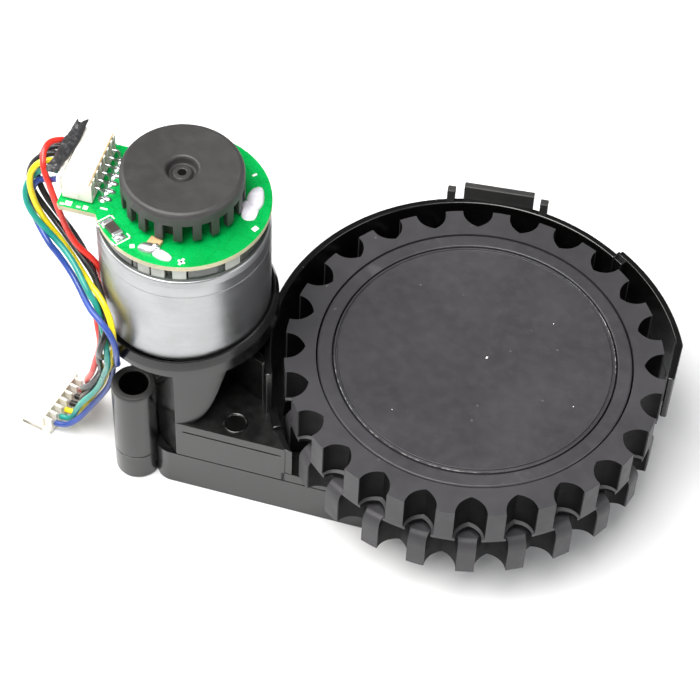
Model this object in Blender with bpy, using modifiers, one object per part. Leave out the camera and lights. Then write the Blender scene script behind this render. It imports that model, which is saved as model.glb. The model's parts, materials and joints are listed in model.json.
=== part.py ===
# Drive wheel module of a robot vacuum: gearbox with wheel well, brushed motor
# with encoder board, four stage spur gear train, lugged wheel and six-wire lead.
# Units in the dimensions below are millimetres; everything is built in metres.
# Plan positions are given from the wheel's axis, heights from the underside.

import math

import bpy
import bmesh
from mathutils import Matrix, Vector

MM = 0.001

# ---------------------------------------------------------------- dimensions
FACE_X, FACE_Y = 20.774, -2.385       # wheel axis in the part's own frame

WHEEL_TIP_R = 38.0                  # over the lugs
WHEEL_ROOT_R = 33.8
TYRE_BORE_R = 31.7
TYRE_Z0, TYRE_Z1 = 13.5, 33.5
LUGS = 24
LUG_PHASE = 5.4                     # degrees, upper row

SEAM_Z = 10.0                       # parting line of the two shells
GAP = 0.15                          # half of the gap left at a joint face
FLOOR_Z0, FLOOR_Z1 = 11.0, 12.7     # floor of the wheel well
TOP_Z = 20.7                        # gearbox roof beside the well
WALL = 1.6
WELL_C = (-1.1, 0.3)
WELL_R = 39.6
SHROUD_R = 41.0
SHROUD_Z = 33.5
SHROUD_ANG0, SHROUD_ANG1 = 55.0, 204.6

MOTOR = (-57.8, -7.0)
CAN_R = 16.8
CAN_Z0, CAN_Z1 = 39.5, 65.0
PLATE_Z0, PLATE_Z1 = 36.8, 39.2     # motor plate
CUP_R = 18.4
BOARD_R = 16.9
BOARD_Z0, BOARD_Z1 = 68.1, 69.3
CAP_R = 11.8
CAP_Z0, CAP_Z1 = 70.5, 77.8

TUBE = (-64.5, -21.5)
TUBE_R, TUBE_BORE_R = 4.6, 2.8
TUBE_Z1 = 27.0
TUBE_STEP_Z = 7.0

PLAY = 0.08                         # radial running clearance
FIT = 0.3                           # gap between pieces that are fixed together

# gear train, from the motor to the wheel: module and teeth of each mesh
MESH_1 = (0.5, 12, 26)
MESH_2 = (0.6, 12, 40)
MESH_3 = (0.7, 12, 32)
MESH_4 = (0.8, 12, 36)


def centres(mesh):
    return mesh[0] * (mesh[1] + mesh[2]) / 2


GEAR_3 = (-centres(MESH_4), 0.0)
GEAR_2 = (GEAR_3[0] - centres(MESH_3), 0.0)


def third_point(a, ra, b, rb, side):
    dx, dy = b[0] - a[0], b[1] - a[1]
    d = math.hypot(dx, dy)
    t = (ra * ra - rb * rb + d * d) / (2 * d)
    h = math.sqrt(ra * ra - t * t) * side
    return (a[0] + (dx * t - dy * h) / d, a[1] + (dy * t + dx * h) / d)


GEAR_1 = third_point(MOTOR, centres(MESH_1), GEAR_2, centres(MESH_2), 1)
AXLE = (0.0, 0.0)

# ---------------------------------------------------------------- clean start
for old in list(bpy.data.objects):
    bpy.data.objects.remove(old, do_unlink=True)

PARTS = bpy.data.collections.new("wheel_module")
TOOLS = bpy.data.collections.new("cutters")
bpy.context.scene.collection.children.link(PARTS)
bpy.context.scene.collection.children.link(TOOLS)

FRAME = bpy.data.objects.new("module_frame", None)
FRAME.location = (FACE_X * MM, FACE_Y * MM, 0.0)
PARTS.objects.link(FRAME)

COLOURS = {
    "shell_black": ((0.028, 0.028, 0.030), 0.42, 0.0),
    "tyre_rubber": ((0.045, 0.044, 0.046), 0.62, 0.0),
    "hub_black": ((0.050, 0.049, 0.052), 0.40, 0.0),
    "steel": ((0.62, 0.63, 0.65), 0.28, 1.0),
    "can_steel": ((0.66, 0.67, 0.69), 0.32, 1.0),
    "brass": ((0.72, 0.52, 0.24), 0.35, 1.0),
    "copper": ((0.70, 0.33, 0.18), 0.40, 1.0),
    "gear_white": ((0.82, 0.80, 0.74), 0.45, 0.0),
    "magnet": ((0.10, 0.10, 0.11), 0.60, 0.0),
    "board_green": ((0.02, 0.42, 0.12), 0.35, 0.0),
    "plug_white": ((0.84, 0.82, 0.74), 0.40, 0.0),
    "tape_black": ((0.03, 0.03, 0.03), 0.55, 0.0),
    "chip": ((0.12, 0.08, 0.06), 0.40, 0.0),
    "wire_red": ((0.80, 0.05, 0.03), 0.40, 0.0),
    "wire_black": ((0.02, 0.02, 0.02), 0.40, 0.0),
    "wire_yellow": ((0.90, 0.75, 0.02), 0.40, 0.0),
    "wire_green": ((0.02, 0.36, 0.30), 0.40, 0.0),
    "wire_blue": ((0.05, 0.13, 0.55), 0.40, 0.0),
}


def finish(name, kind):
    colour, rough, metal = COLOURS[kind]
    mat = bpy.data.materials.new(name + "_finish")
    mat.use_nodes = True
    bsdf = mat.node_tree.nodes["Principled BSDF"]
    bsdf.inputs["Base Color"].default_value = (*colour, 1.0)
    bsdf.inputs["Roughness"].default_value = rough
    bsdf.inputs["Metallic"].default_value = metal
    return mat


# ---------------------------------------------------------------- shape tools
def arc(cx, cy, r, a0, a1, n):
    """n + 1 points from angle a0 to a1, in degrees."""
    out = []
    for i in range(n + 1):
        a = math.radians(a0 + (a1 - a0) * i / n)
        out.append((cx + r * math.cos(a), cy + r * math.sin(a)))
    return out


def circle(c, r, n=48, start=0.0):
    return arc(c[0], c[1], r, start, start + 360.0 * (n - 1) / n, n - 1)


def hull(points):
    pts = sorted(set((round(x, 6), round(y, 6)) for x, y in points))

    def half(seq):
        out = []
        for p in seq:
            while len(out) > 1 and (
                (out[-1][0] - out[-2][0]) * (p[1] - out[-2][1])
                - (out[-1][1] - out[-2][1]) * (p[0] - out[-2][0])
            ) <= 0:
                out.pop()
            out.append(p)
        return out[:-1]

    return half(pts) + half(reversed(pts))


def link(obj, tool):
    (TOOLS if tool else PARTS).objects.link(obj)
    obj.parent = FRAME
    if tool:
        obj.hide_render = True
        obj.display_type = "WIRE"
    return obj


def prism(name, outline, z0, z1, holes=(), origin=(0.0, 0.0), tool=True):
    """Flat outline in plan, extruded from z0 to z1."""
    curve = bpy.data.curves.new(name, "CURVE")
    curve.dimensions = "2D"
    curve.fill_mode = "BOTH"
    curve.extrude = (z1 - z0) / 2 * MM
    for loop in [outline, *holes]:
        spline = curve.splines.new("POLY")
        spline.points.add(len(loop) - 1)
        for point, (x, y) in zip(spline.points, loop):
            point.co = ((x - origin[0]) * MM, (y - origin[1]) * MM, 0.0, 1.0)
        spline.use_cyclic_u = True
    temp = bpy.data.objects.new(name + "_outline", curve)
    bpy.context.scene.collection.objects.link(temp)
    graph = bpy.context.evaluated_depsgraph_get()
    mesh = bpy.data.meshes.new_from_object(temp.evaluated_get(graph))
    bpy.data.objects.remove(temp, do_unlink=True)
    bm = bmesh.new()
    bm.from_mesh(mesh)
    bmesh.ops.remove_doubles(bm, verts=bm.verts, dist=1e-6)
    bmesh.ops.recalc_face_normals(bm, faces=bm.faces)
    bm.to_mesh(mesh)
    bm.free()
    mesh.name = name
    obj = bpy.data.objects.new(name, mesh)
    obj.location = (origin[0] * MM, origin[1] * MM, (z0 + z1) / 2 * MM)
    return link(obj, tool)


def turned(name, profile, centre=(0.0, 0.0), steps=48, tool=True):
    """Closed section (radius, height), outer side listed from top to bottom."""
    mesh = bpy.data.meshes.new(name)
    verts = [(r * MM, 0.0, z * MM) for r, z in profile]
    n = len(verts)
    closed = min(r for r, z in profile) > 1e-6
    edges = [(i, i + 1) for i in range(n - 1)]
    if closed:
        edges.append((n - 1, 0))
    mesh.from_pydata(verts, edges, [])
    obj = bpy.data.objects.new(name, mesh)
    obj.location = (centre[0] * MM, centre[1] * MM, 0.0)
    link(obj, tool)
    screw = obj.modifiers.new("turn", "SCREW")
    screw.axis = "Z"
    screw.angle = math.tau
    screw.steps = steps
    screw.render_steps = steps
    screw.use_merge_vertices = True
    screw.merge_threshold = 1e-6
    screw.use_smooth_shade = False
    return obj


def cylinder(name, centre, r, z0, z1, steps=48, tool=True):
    return turned(name, [(0.0, z1), (r, z1), (r, z0), (0.0, z0)], centre, steps, tool)


def ring(name, centre, r0, r1, z0, z1, steps=48, tool=True):
    return turned(name, [(r0, z1), (r1, z1), (r1, z0), (r0, z0)], centre, steps, tool)


def block(name, centre, size, turn=0.0, tool=True):
    """Box by its middle, its size and a turn about Z in degrees."""
    mesh = bpy.data.meshes.new(name)
    bm = bmesh.new()
    bmesh.ops.create_cube(bm, size=1.0)
    bmesh.ops.scale(bm, vec=[s * MM for s in size], verts=bm.verts)
    bm.to_mesh(mesh)
    bm.free()
    obj = bpy.data.objects.new(name, mesh)
    obj.location = [c * MM for c in centre]
    obj.rotation_euler = (0.0, 0.0, math.radians(turn))
    return link(obj, tool)


def upright(name, outline, y0, y1, tool=True):
    """Flat outline in X and Z, standing between y0 and y1."""
    obj = prism(name, outline, y0, y1, tool=tool)
    # the flat outline's Y becomes Z, and its thickness lies along Y
    obj.data.transform(Matrix.Rotation(math.radians(90), 4, "X"))
    obj.location = (0.0, (y0 + y1) / 2 * MM, 0.0)
    return obj


counter = [0]


def combine(obj, adds=(), cuts=(), keeps=()):
    for operation, tools in (("UNION", adds), ("INTERSECT", keeps), ("DIFFERENCE", cuts)):
        for other in tools:
            counter[0] += 1
            mod = obj.modifiers.new("%s_%d" % (operation.lower(), counter[0]), "BOOLEAN")
            mod.operation = operation
            mod.solver = "EXACT"
            mod.object = other
    return obj


def part(obj, name, kind, smooth=True):
    """The object becomes a named piece with its own finish."""
    obj.name = name
    obj.data.name = name
    if obj.name in TOOLS.objects:
        TOOLS.objects.unlink(obj)
        PARTS.objects.link(obj)
        obj.hide_render = False
        obj.display_type = "TEXTURED"
    obj.data.materials.clear()
    obj.data.materials.append(finish(name, kind))
    return obj


def settle(obj):
    """The object's modifiers are applied, and its round faces shaded smooth."""
    graph = bpy.context.evaluated_depsgraph_get()
    mesh = bpy.data.meshes.new_from_object(obj.evaluated_get(graph))
    old = obj.data
    obj.modifiers.clear()
    obj.data = mesh
    mesh.name = old.name
    bm = bmesh.new()
    bm.from_mesh(mesh)
    bmesh.ops.remove_doubles(bm, verts=bm.verts, dist=1e-6)
    bmesh.ops.dissolve_degenerate(bm, edges=bm.edges, dist=1e-7)
    bmesh.ops.dissolve_limit(bm, angle_limit=math.radians(0.4), verts=bm.verts, edges=bm.edges)
    bmesh.ops.triangulate(bm, faces=bm.faces)
    bm.to_mesh(mesh)
    bm.free()
    mesh.shade_smooth()
    mesh.set_sharp_from_angle(angle=math.radians(35))
    return obj


# ---------------------------------------------------------------- gears
def gear_outline(module, teeth, centre, phase, backlash, add=1.0, ded=1.25):
    """Involute teeth with four points each; phase is a tooth's middle, degrees."""
    rp = module * teeth / 2
    rb = rp * math.cos(math.radians(20))
    ra = rp + add * module
    rf = rp - ded * module
    inv = math.tan(math.radians(20)) - math.radians(20)
    half_pitch = (math.pi * module / 2 - backlash) / 2 / rp

    def half_angle(r):
        r = max(r, rb)
        a = math.acos(rb / r)
        return half_pitch + inv - (math.tan(a) - a)

    rm = max(rb, rp - 0.25 * module)
    # the flank is a chord of the involute, drawn on to the root
    slope = (half_angle(ra) - half_angle(rm)) / (ra - rm)
    steps = [(rf, half_angle(rm) - slope * (rm - rf) * 0.35), (ra, half_angle(ra))]
    out = []
    for t in range(teeth):
        mid = math.radians(phase) + math.tau * t / teeth
        for r, h in steps:
            out.append((centre[0] + r * math.cos(mid - h), centre[1] + r * math.sin(mid - h)))
        for r, h in reversed(steps):
            out.append((centre[0] + r * math.cos(mid + h), centre[1] + r * math.sin(mid + h)))
    return out


def meshing_phase(centre_a, teeth_a, phase_a, centre_b, teeth_b):
    """Tooth phase of gear b, in degrees, that puts it in mesh with gear a."""
    theta = math.atan2(centre_b[1] - centre_a[1], centre_b[0] - centre_a[0])
    u_a = teeth_a * (theta - math.radians(phase_a)) / math.tau
    # u_a + u_b = 1/2, with u_b = teeth_b * (theta + pi - phase_b) / tau
    u_b = 0.5 - u_a
    return math.degrees(theta + math.pi - u_b * math.tau / teeth_b)


BACKLASH = 0.16
PH_OUT = 0.0
PH_3S = meshing_phase(AXLE, MESH_4[2], PH_OUT, GEAR_3, MESH_4[1])
PH_3B = PH_3S
PH_2S = meshing_phase(GEAR_3, MESH_3[2], PH_3B, GEAR_2, MESH_3[1])
PH_2B = PH_2S
PH_1S = meshing_phase(GEAR_2, MESH_2[2], PH_2B, GEAR_1, MESH_2[1])
PH_1B = PH_1S
PH_P = meshing_phase(GEAR_1, MESH_1[2], PH_1B, MOTOR, MESH_1[1])

LAYER_A = (2.4, 5.1)
LAYER_B = (5.4, 7.8)
LAYER_C = (8.2, 10.6)
PIN_R = 1.0


def gear_prism(name, mesh, which, centre, phase, z0, z1, add=1.0):
    teeth = mesh[1] if which == "small" else mesh[2]
    return prism(
        name, gear_outline(mesh[0], teeth, centre, phase, BACKLASH, add), z0, z1, origin=centre
    )


def thin_web(name, centre, r0, r1, z0, z1):
    """Ring cut into both sides of a gear's web."""
    return ring(name, centre, r0, r1, z0, z1, 32)


# output gear on the wheel's axle
out_gear = gear_prism("output_gear", MESH_4, "large", AXLE, PH_OUT, *LAYER_A, add=0.95)
combine(
    out_gear,
    adds=[cylinder("output_hub", AXLE, 4.6, 2.6, 8.2, 20)],
    cuts=[
        cylinder("output_bore", AXLE, 2.5 + FIT, 0.0, 12.0, 20),
        ring("output_web", AXLE, 5.4, 12.2, 4.2, 9.0, 28),
    ],
)
part(settle(out_gear), "output_gear", "gear_white")

gear_3 = gear_prism("gear_3", MESH_3, "large", GEAR_3, PH_3B, *LAYER_B, add=0.95)
combine(
    gear_3,
    adds=[gear_prism("gear_3_pinion", MESH_4, "small", GEAR_3, PH_3S, LAYER_A[0], 5.6, add=0.95)],
    cuts=[
        cylinder("gear_3_bore", GEAR_3, PIN_R + PLAY, 0.0, 12.0, 16),
        ring("gear_3_web", GEAR_3, 2.6, 9.6, 7.0, 9.0, 24),
    ],
)
part(settle(gear_3), "gear_3", "gear_white")

gear_2 = gear_prism("gear_2", MESH_2, "large", GEAR_2, PH_2B, *LAYER_C, add=0.95)
combine(
    gear_2,
    adds=[gear_prism("gear_2_pinion", MESH_3, "small", GEAR_2, PH_2S, 5.3, 8.4, add=0.95)],
    cuts=[
        cylinder("gear_2_bore", GEAR_2, PIN_R + PLAY, 0.0, 12.0, 16),
        ring("gear_2_web", GEAR_2, 2.6, 10.4, 9.7, 12.0, 24),
    ],
)
part(settle(gear_2), "gear_2", "gear_white")

GEAR_1_Z = (28.5, 32.5)
gear_1 = gear_prism("gear_1", MESH_1, "large", GEAR_1, PH_1B, *GEAR_1_Z, add=0.95)
combine(
    gear_1,
    adds=[
        cylinder("gear_1_sleeve", GEAR_1, 2.5, 10.4, 34.6, 20),
        gear_prism("gear_1_pinion", MESH_2, "small", GEAR_1, PH_1S, 7.9, 10.9, add=0.95),
    ],
    cuts=[
        cylinder("gear_1_bore", GEAR_1, PIN_R + PLAY, 0.0, 40.0, 16),
        ring("gear_1_web", GEAR_1, 3.2, 5.0, 31.4, 34.0, 20),
    ],
)
part(settle(gear_1), "gear_1", "gear_white")

pinion = gear_prism("motor_pinion", MESH_1, "small", MOTOR, PH_P, 27.6, 33.6, add=0.95)
combine(pinion, cuts=[cylinder("pinion_bore", MOTOR, 1.0 + FIT, 20.0, 40.0, 12)])
part(settle(pinion), "motor_pinion", "brass")

for index, (centre, top) in enumerate(((GEAR_1, 37.9), (GEAR_2, 12.0), (GEAR_3, 12.0)), 1):
    pin = turned(
        "gear_pin_%d" % index,
        [(0.0, top), (PIN_R - 0.2, top), (PIN_R, top - 0.2), (PIN_R, 1.2), (PIN_R - 0.2, 1.0), (0.0, 1.0)],
        centre,
        16,
    )
    part(settle(pin), "gear_pin_%d" % index, "steel")

# ---------------------------------------------------------------- the wheel
def lug_outline(phase):
    """One row of lugs: flat tips, straight flanks, pointed arch between them."""
    pitch = 360.0 / LUGS
    valley = [(38.0, 3.15), (35.8, 2.65), (34.4, 1.25)]
    out = []
    for k in range(LUGS):
        mid = phase + k * pitch
        right = [(r, -pitch / 2 + math.degrees(w / r)) for r, w in reversed(valley)]
        out.append((WHEEL_ROOT_R, mid - pitch / 2))
        out += [(r, mid + a) for r, a in right]
        out += [(r, mid - a) for r, a in reversed(right)]
    return [(r * math.cos(math.radians(a)), r * math.sin(math.radians(a))) for r, a in out]


tyre = prism("tyre", lug_outline(LUG_PHASE), 24.0, TYRE_Z1)
combine(
    tyre,
    adds=[
        prism("tyre_lower_row", lug_outline(LUG_PHASE + 180.0 / LUGS), TYRE_Z0, 22.7),
        turned(
            "tyre_middle",
            [(0.0, 26.0), (33.4, 26.0), (33.4, 24.4), (35.1, 24.3), (35.1, 23.5), (33.2, 23.3), (33.2, 20.0), (0.0, 20.0)],
            steps=48,
        ),
    ],
    cuts=[cylinder("tyre_bore", AXLE, TYRE_BORE_R, 10.0, 40.0, 56)],
)
part(settle(tyre), "tyre", "tyre_rubber")

hub = turned(
    "wheel_hub",
    [
        (28.5, 33.5), (31.4, 33.5), (31.4, 13.7), (29.6, 13.7), (29.6, 24.4),
        (5.6, 24.4), (5.6, 14.0), (2.8, 14.0), (2.8, 28.0), (5.6, 28.0), (5.6, 26.2),
        (26.4, 26.2), (26.4, 31.6), (28.5, 31.6),
    ],
    steps=44,
)
ribs = [
    block("hub_rib_%d" % k, (15.9 * math.cos(k * math.pi / 3), 15.9 * math.sin(k * math.pi / 3), 27.7), (22.0, 1.4, 4.0), k * 60.0)
    for k in range(6)
]
combine(hub, adds=ribs)
part(settle(hub), "wheel_hub", "hub_black")

hub_cap = turned(
    "hub_cap",
    [(0.0, 33.5), (28.0, 33.5), (28.2, 33.3), (28.2, 31.9), (0.0, 31.9)],
    steps=44,
)
part(settle(hub_cap), "hub_cap", "hub_black")

axle = turned(
    "wheel_axle",
    [(0.0, 27.0), (2.2, 27.0), (2.5, 26.7), (2.5, 1.1), (0.0, 1.1)],
    steps=24,
)
combine(
    axle,
    cuts=[
        cylinder("axle_hole", AXLE, 1.35, 17.7, 30.0, 14),
        block("axle_flat_a", (3.6, 0.0, 21.0), (3.0, 6.0, 8.0)),
        block("axle_flat_b", (-3.6, 0.0, 21.0), (3.0, 6.0, 8.0)),
    ],
)
part(settle(axle), "wheel_axle", "steel")

wheel_screw = turned(
    "wheel_screw",
    [(0.0, 30.0), (2.2, 30.0), (2.9, 29.4), (2.9, 28.3), (1.05, 28.3), (1.05, 18.4), (0.6, 18.0), (0.0, 18.0)],
    steps=16,
)
combine(
    wheel_screw,
    cuts=[
        block("wheel_screw_slot_a", (0, 0, 30.0), (3.0, 0.7, 1.6)),
        block("wheel_screw_slot_b", (0, 0, 30.0), (0.7, 3.0, 1.6)),
    ],
)
part(settle(wheel_screw), "wheel_screw", "steel")

lower_bush = turned(
    "wheel_bearing_lower",
    [(2.5 + PLAY, 2.1), (3.6, 2.1), (3.6, 0.8), (2.5 + PLAY, 0.8)],
    steps=24,
)
part(settle(lower_bush), "wheel_bearing_lower", "brass")
upper_bush = turned(
    "wheel_bearing_upper",
    [(2.5 + PLAY, 12.6), (4.0, 12.6), (4.0, 9.6), (4.6, 9.6), (4.6, 8.9), (2.5 + PLAY, 8.9)],
    steps=24,
)
part(settle(upper_bush), "wheel_bearing_upper", "brass")

# ---------------------------------------------------------------- lower shell
CORNER_LOW = ((-56.5, -20.4), 4.0)


def low_outline(inset=0.0):
    pts = (
        circle(AXLE, 24.4 - inset, 48)
        + circle(GEAR_2, 15.2 - inset, 32)
        + circle(MOTOR, 12.0 - inset, 24)
        + circle(CORNER_LOW[0], CORNER_LOW[1] - inset, 20)
    )
    return hull(pts)


def high_outline(inset=0.0):
    pts = (
        circle(AXLE, 24.4 - inset, 48)
        + circle(GEAR_2, 15.2 - inset, 32)
        + circle(MOTOR, 12.0 - inset, 24)
        + arc(-55.2 + inset + 0.4, -24.4 + inset + 0.4, 0.4, 180, 270, 3)
    )
    return hull(pts)


SCREWS = [
    (-51.0, -20.55),
    (-22.0, -20.6),
    (20.6 * math.cos(math.radians(-40)), 20.6 * math.sin(math.radians(-40))),
    (20.6 * math.cos(math.radians(52)), 20.6 * math.sin(math.radians(52))),
    (-24.0, 14.9),
]

lower = prism("gearbox_lower_shell", low_outline(), 0.0, SEAM_Z - GAP)
low_adds = [ring("tube_foot", TUBE, TUBE_BORE_R - 0.4, TUBE_R, 0.0, TUBE_STEP_Z - GAP, 28)]
low_cavity = prism("lower_cavity", low_outline(WALL), 1.6, 20.0)
late_adds = [
    cylinder("boss_g1", GEAR_1, 2.5, 1.0, 7.4, 16),
    cylinder("boss_g2", GEAR_2, 2.5, 1.0, 4.9, 16),
    cylinder("boss_g3", GEAR_3, 2.5, 1.0, 2.0, 16),
    cylinder("boss_axle", AXLE, 5.2, 1.0, 2.1, 24),
    block("rib_front", (-37.0, -20.2, 3.0), (1.2, 7.0, 4.0)),
    block("rib_left", (-66.0, -7.0, 3.0), (6.0, 1.2, 4.0)),
]
low_cuts = [
    cylinder("seat_axle", AXLE, 3.6 + FIT, 0.5, 5.0, 28),
    cylinder("tube_bore_low", TUBE, TUBE_BORE_R, -1.0, 12.0, 28),
]
for n, centre in enumerate((GEAR_1, GEAR_2, GEAR_3), 1):
    low_cuts.append(cylinder("pin_hole_low_%d" % n, centre, PIN_R + 0.2, 0.7, 12.0, 14))
for n, centre in enumerate(SCREWS, 1):
    late_adds.append(cylinder("screw_post_%d" % n, centre, 2.7, 1.0, 4.8, 18))
    # the wall is hollowed beside each post of the upper shell
    low_cuts.append(cylinder("post_clearance_%d" % n, centre, 2.3 + FIT, 4.8, 12.0, 18))
    low_cuts.append(
        turned(
            "screw_hole_%d" % n,
            [(0.0, 12.0), (1.35, 12.0), (1.35, 2.0), (2.35, 2.0), (2.35, -1.0), (0.0, -1.0)],
            centre,
            16,
        )
    )
# the wall is thicker where it is hollowed for the upper half of the tube
tube_backing = cylinder("tube_backing", TUBE, 6.7, 1.0, SEAM_Z - GAP, 32)
combine(tube_backing, keeps=[prism("tube_backing_keep", low_outline(0.4), 0.0, 12.0)])
low_cuts.append(cylinder("tube_clearance", TUBE, TUBE_R + FIT, TUBE_STEP_Z - GAP, 12.0, 28))
combine(lower, cuts=[low_cavity])
combine(lower, adds=low_adds + late_adds + [tube_backing])
combine(lower, cuts=low_cuts)
part(settle(lower), "gearbox_lower_shell", "shell_black")

# ---------------------------------------------------------------- upper shell
upper = prism("gearbox_upper_shell", high_outline(), SEAM_Z + GAP, TOP_Z)
up_cavity_a = prism("upper_cavity_a", high_outline(WALL), 9.0, FLOOR_Z0)
up_cavity_b = prism("upper_cavity_b", high_outline(WALL), 9.5, TOP_Z - 1.7)
combine(up_cavity_b, cuts=[cylinder("well_outer", WELL_C, WELL_R + 3.2, 0.0, 60.0, 60)])

tower = prism(
    "tower", hull(circle(MOTOR, 7.4, 20) + circle(GEAR_1, 8.7, 24)), 19.4, PLATE_Z0 + 0.3
)
tower_cavity = prism(
    "tower_cavity", hull(circle(MOTOR, 4.6, 16) + circle(GEAR_1, 7.2, 24)), 18.0, 35.6
)

cup = cylinder("cup", MOTOR, CUP_R, PLATE_Z0, 45.0, 48)
combine(cup, cuts=[cylinder("cup_inside", MOTOR, CAN_R + 0.4, PLATE_Z1, 50.0, 48)])
slope = block("cup_rim_cut", (0, 0, 0), (60.0, 60.0, 20.0))
RIM_LOW, RIM_HIGH, RIM_AZ = 39.9, 43.4, 35.0
tilt = math.atan2(RIM_HIGH - RIM_LOW, 2 * CUP_R)
slope.rotation_euler = (0.0, -tilt, math.radians(RIM_AZ))
slope.location = (
    (MOTOR[0] - 10.0 * math.sin(tilt) * math.cos(math.radians(RIM_AZ))) * MM,
    (MOTOR[1] - 10.0 * math.sin(tilt) * math.sin(math.radians(RIM_AZ))) * MM,
    ((RIM_LOW + RIM_HIGH) / 2 + 10.0 * math.cos(tilt)) * MM,
)
combine(cup, cuts=[slope])

# apron under the cup's front, with its curved lower edge
apron_edge = [(-55.1, 19.2), (-55.1, 37.4), (-45.2, 37.4)]
for k in range(7):
    x = -45.6 - 9.0 * k / 6
    apron_edge.append((x, 20.5 + 15.6 * ((x + 55.2) / 9.6) ** 3.4))
apron = ring("apron", MOTOR, 16.2, 17.62, 18.0, 37.6, 60)
combine(apron, keeps=[upright("apron_shape", apron_edge, -30.0, -14.0)])

# rib from the pivot tube up to the cup
tube_rib = upright("tube_rib", [(1.5, 12.0), (9.5, 12.0), (9.5, 37.9), (3.0, 26.6), (1.5, 26.6)], -0.65, 0.65)
tube_rib.location = ((TUBE[0] + 1.0) * MM, (TUBE[1] + 3.2) * MM, 0.0)
tube_rib.rotation_euler = (0.0, 0.0, math.radians(-24.0))

tube = turned(
    "pivot_tube",
    [(TUBE_BORE_R - 0.4, TUBE_Z1), (TUBE_R - 0.45, TUBE_Z1), (TUBE_R - 0.1, TUBE_Z1 - 0.5),
     (TUBE_R, TUBE_STEP_Z + GAP), (TUBE_BORE_R - 0.4, TUBE_STEP_Z + GAP)],
    TUBE,
    28,
)

# wheel shroud
back = prism(
    "shroud_back",
    arc(*WELL_C, SHROUD_R, SHROUD_ANG0 + 0.8, SHROUD_ANG1, 44) + arc(*WELL_C, WELL_R - 1.0, SHROUD_ANG1, SHROUD_ANG0 + 0.8, 26),
    FLOOR_Z0 + 0.2,
    SHROUD_Z,
)
CORNER_ANG = math.degrees(math.asin(15.2 / 42.0))
X_FLAT = 42.0 * math.cos(math.radians(CORNER_ANG))
wing = prism(
    "shroud_wing",
    arc(0, 0, 42.1, 57.4, CORNER_ANG, 11) + [(X_FLAT + 0.2, 5.8), (X_FLAT - 1.2, 5.8)]
    + [(X_FLAT - 1.3, 14.6)] + arc(0, 0, 40.8, CORNER_ANG + 1.2, 57.4, 10),
    TOP_Z,
    SHROUD_Z,
)
skirt = prism(
    "shroud_skirt",
    arc(0, 0, 42.0, 58.0, 24.0, 10) + arc(0, 0, 40.7, 24.0, 58.0, 10),
    11.3,
    TOP_Z + 0.6,
)
step = prism(
    "shroud_step",
    arc(0, 0, 41.9, 58.4, 54.4, 2) + arc(0, 0, 39.5, 54.4, 58.4, 2),
    TOP_Z,
    SHROUD_Z - 0.6,
)
curb = prism(
    "well_curb",
    arc(*WELL_C, SHROUD_R - 0.3, SHROUD_ANG1 - 1.0, 222.0, 8) + arc(*WELL_C, WELL_R - 1.2, 222.0, SHROUD_ANG1 - 1.0, 6),
    11.6,
    TOP_Z + 1.1,
)
combine(curb, keeps=[block("curb_keep", (-36.0, -14.3, 21.0), (20.0, 20.0, 20.0))])
floor_sector = prism(
    "well_floor",
    [(0.0, 0.0)] + arc(*WELL_C, 40.3, 62.0, 196.0, 34),
    FLOOR_Z0,
    FLOOR_Z1,
)
floor_ribs = []
for n, (a, inner) in enumerate(((74.0, 25.2), (102.0, 25.2), (130.0, 27.6))):
    ca, sa = math.cos(math.radians(a)), math.sin(math.radians(a))
    reach = 40.6 + WELL_C[0] * ca + WELL_C[1] * sa
    floor_ribs.append(
        block("floor_rib_%d" % n, ((inner + reach) / 2 * ca, (inner + reach) / 2 * sa, 9.3), (reach - inner, 1.4, 4.6), a)
    )

# clip behind the shroud and its two guides
CLIP_AZ = 95.6
clips = []
for n, (offset, width, top) in enumerate(((0.0, 14.7, 37.7), (-9.6, 1.7, 36.9), (9.9, 1.7, 36.9))):
    a = math.radians(CLIP_AZ)
    ca, sa = math.cos(a), math.sin(a)
    # the shroud falls away from the flat clip's plane at the guides
    drop = SHROUD_R - math.sqrt(SHROUD_R ** 2 - offset ** 2)
    r = 41.0 - drop
    clips.append(
        block(
            "clip_%d" % n,
            (WELL_C[0] + r * ca - offset * sa, WELL_C[1] + r * sa + offset * ca, (27.0 + top) / 2),
            (1.9 if n == 0 else 1.7, width, top - 27.0),
            CLIP_AZ,
        )
    )

# brace between the shroud and the motor tower
brace = block("brace", (-43.2, -11.6, 26.4), (8.6, 1.9, 13.8), -24.0)

posts = []
post_cuts = []
for n, centre in enumerate(SCREWS, 1):
    posts.append(cylinder("upper_post_%d" % n, centre, 2.3, 5.1, FLOOR_Z1 - 0.5, 18))
    post_cuts.append(cylinder("pilot_%d" % n, centre, 1.3, 4.0, 11.9, 14))
bearing_boss = cylinder("bearing_boss", AXLE, 5.5, 9.3, FLOOR_Z1 + 0.6, 28)
well_cut = cylinder("well_cut", WELL_C, WELL_R, FLOOR_Z1, 35.5, 100)

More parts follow.
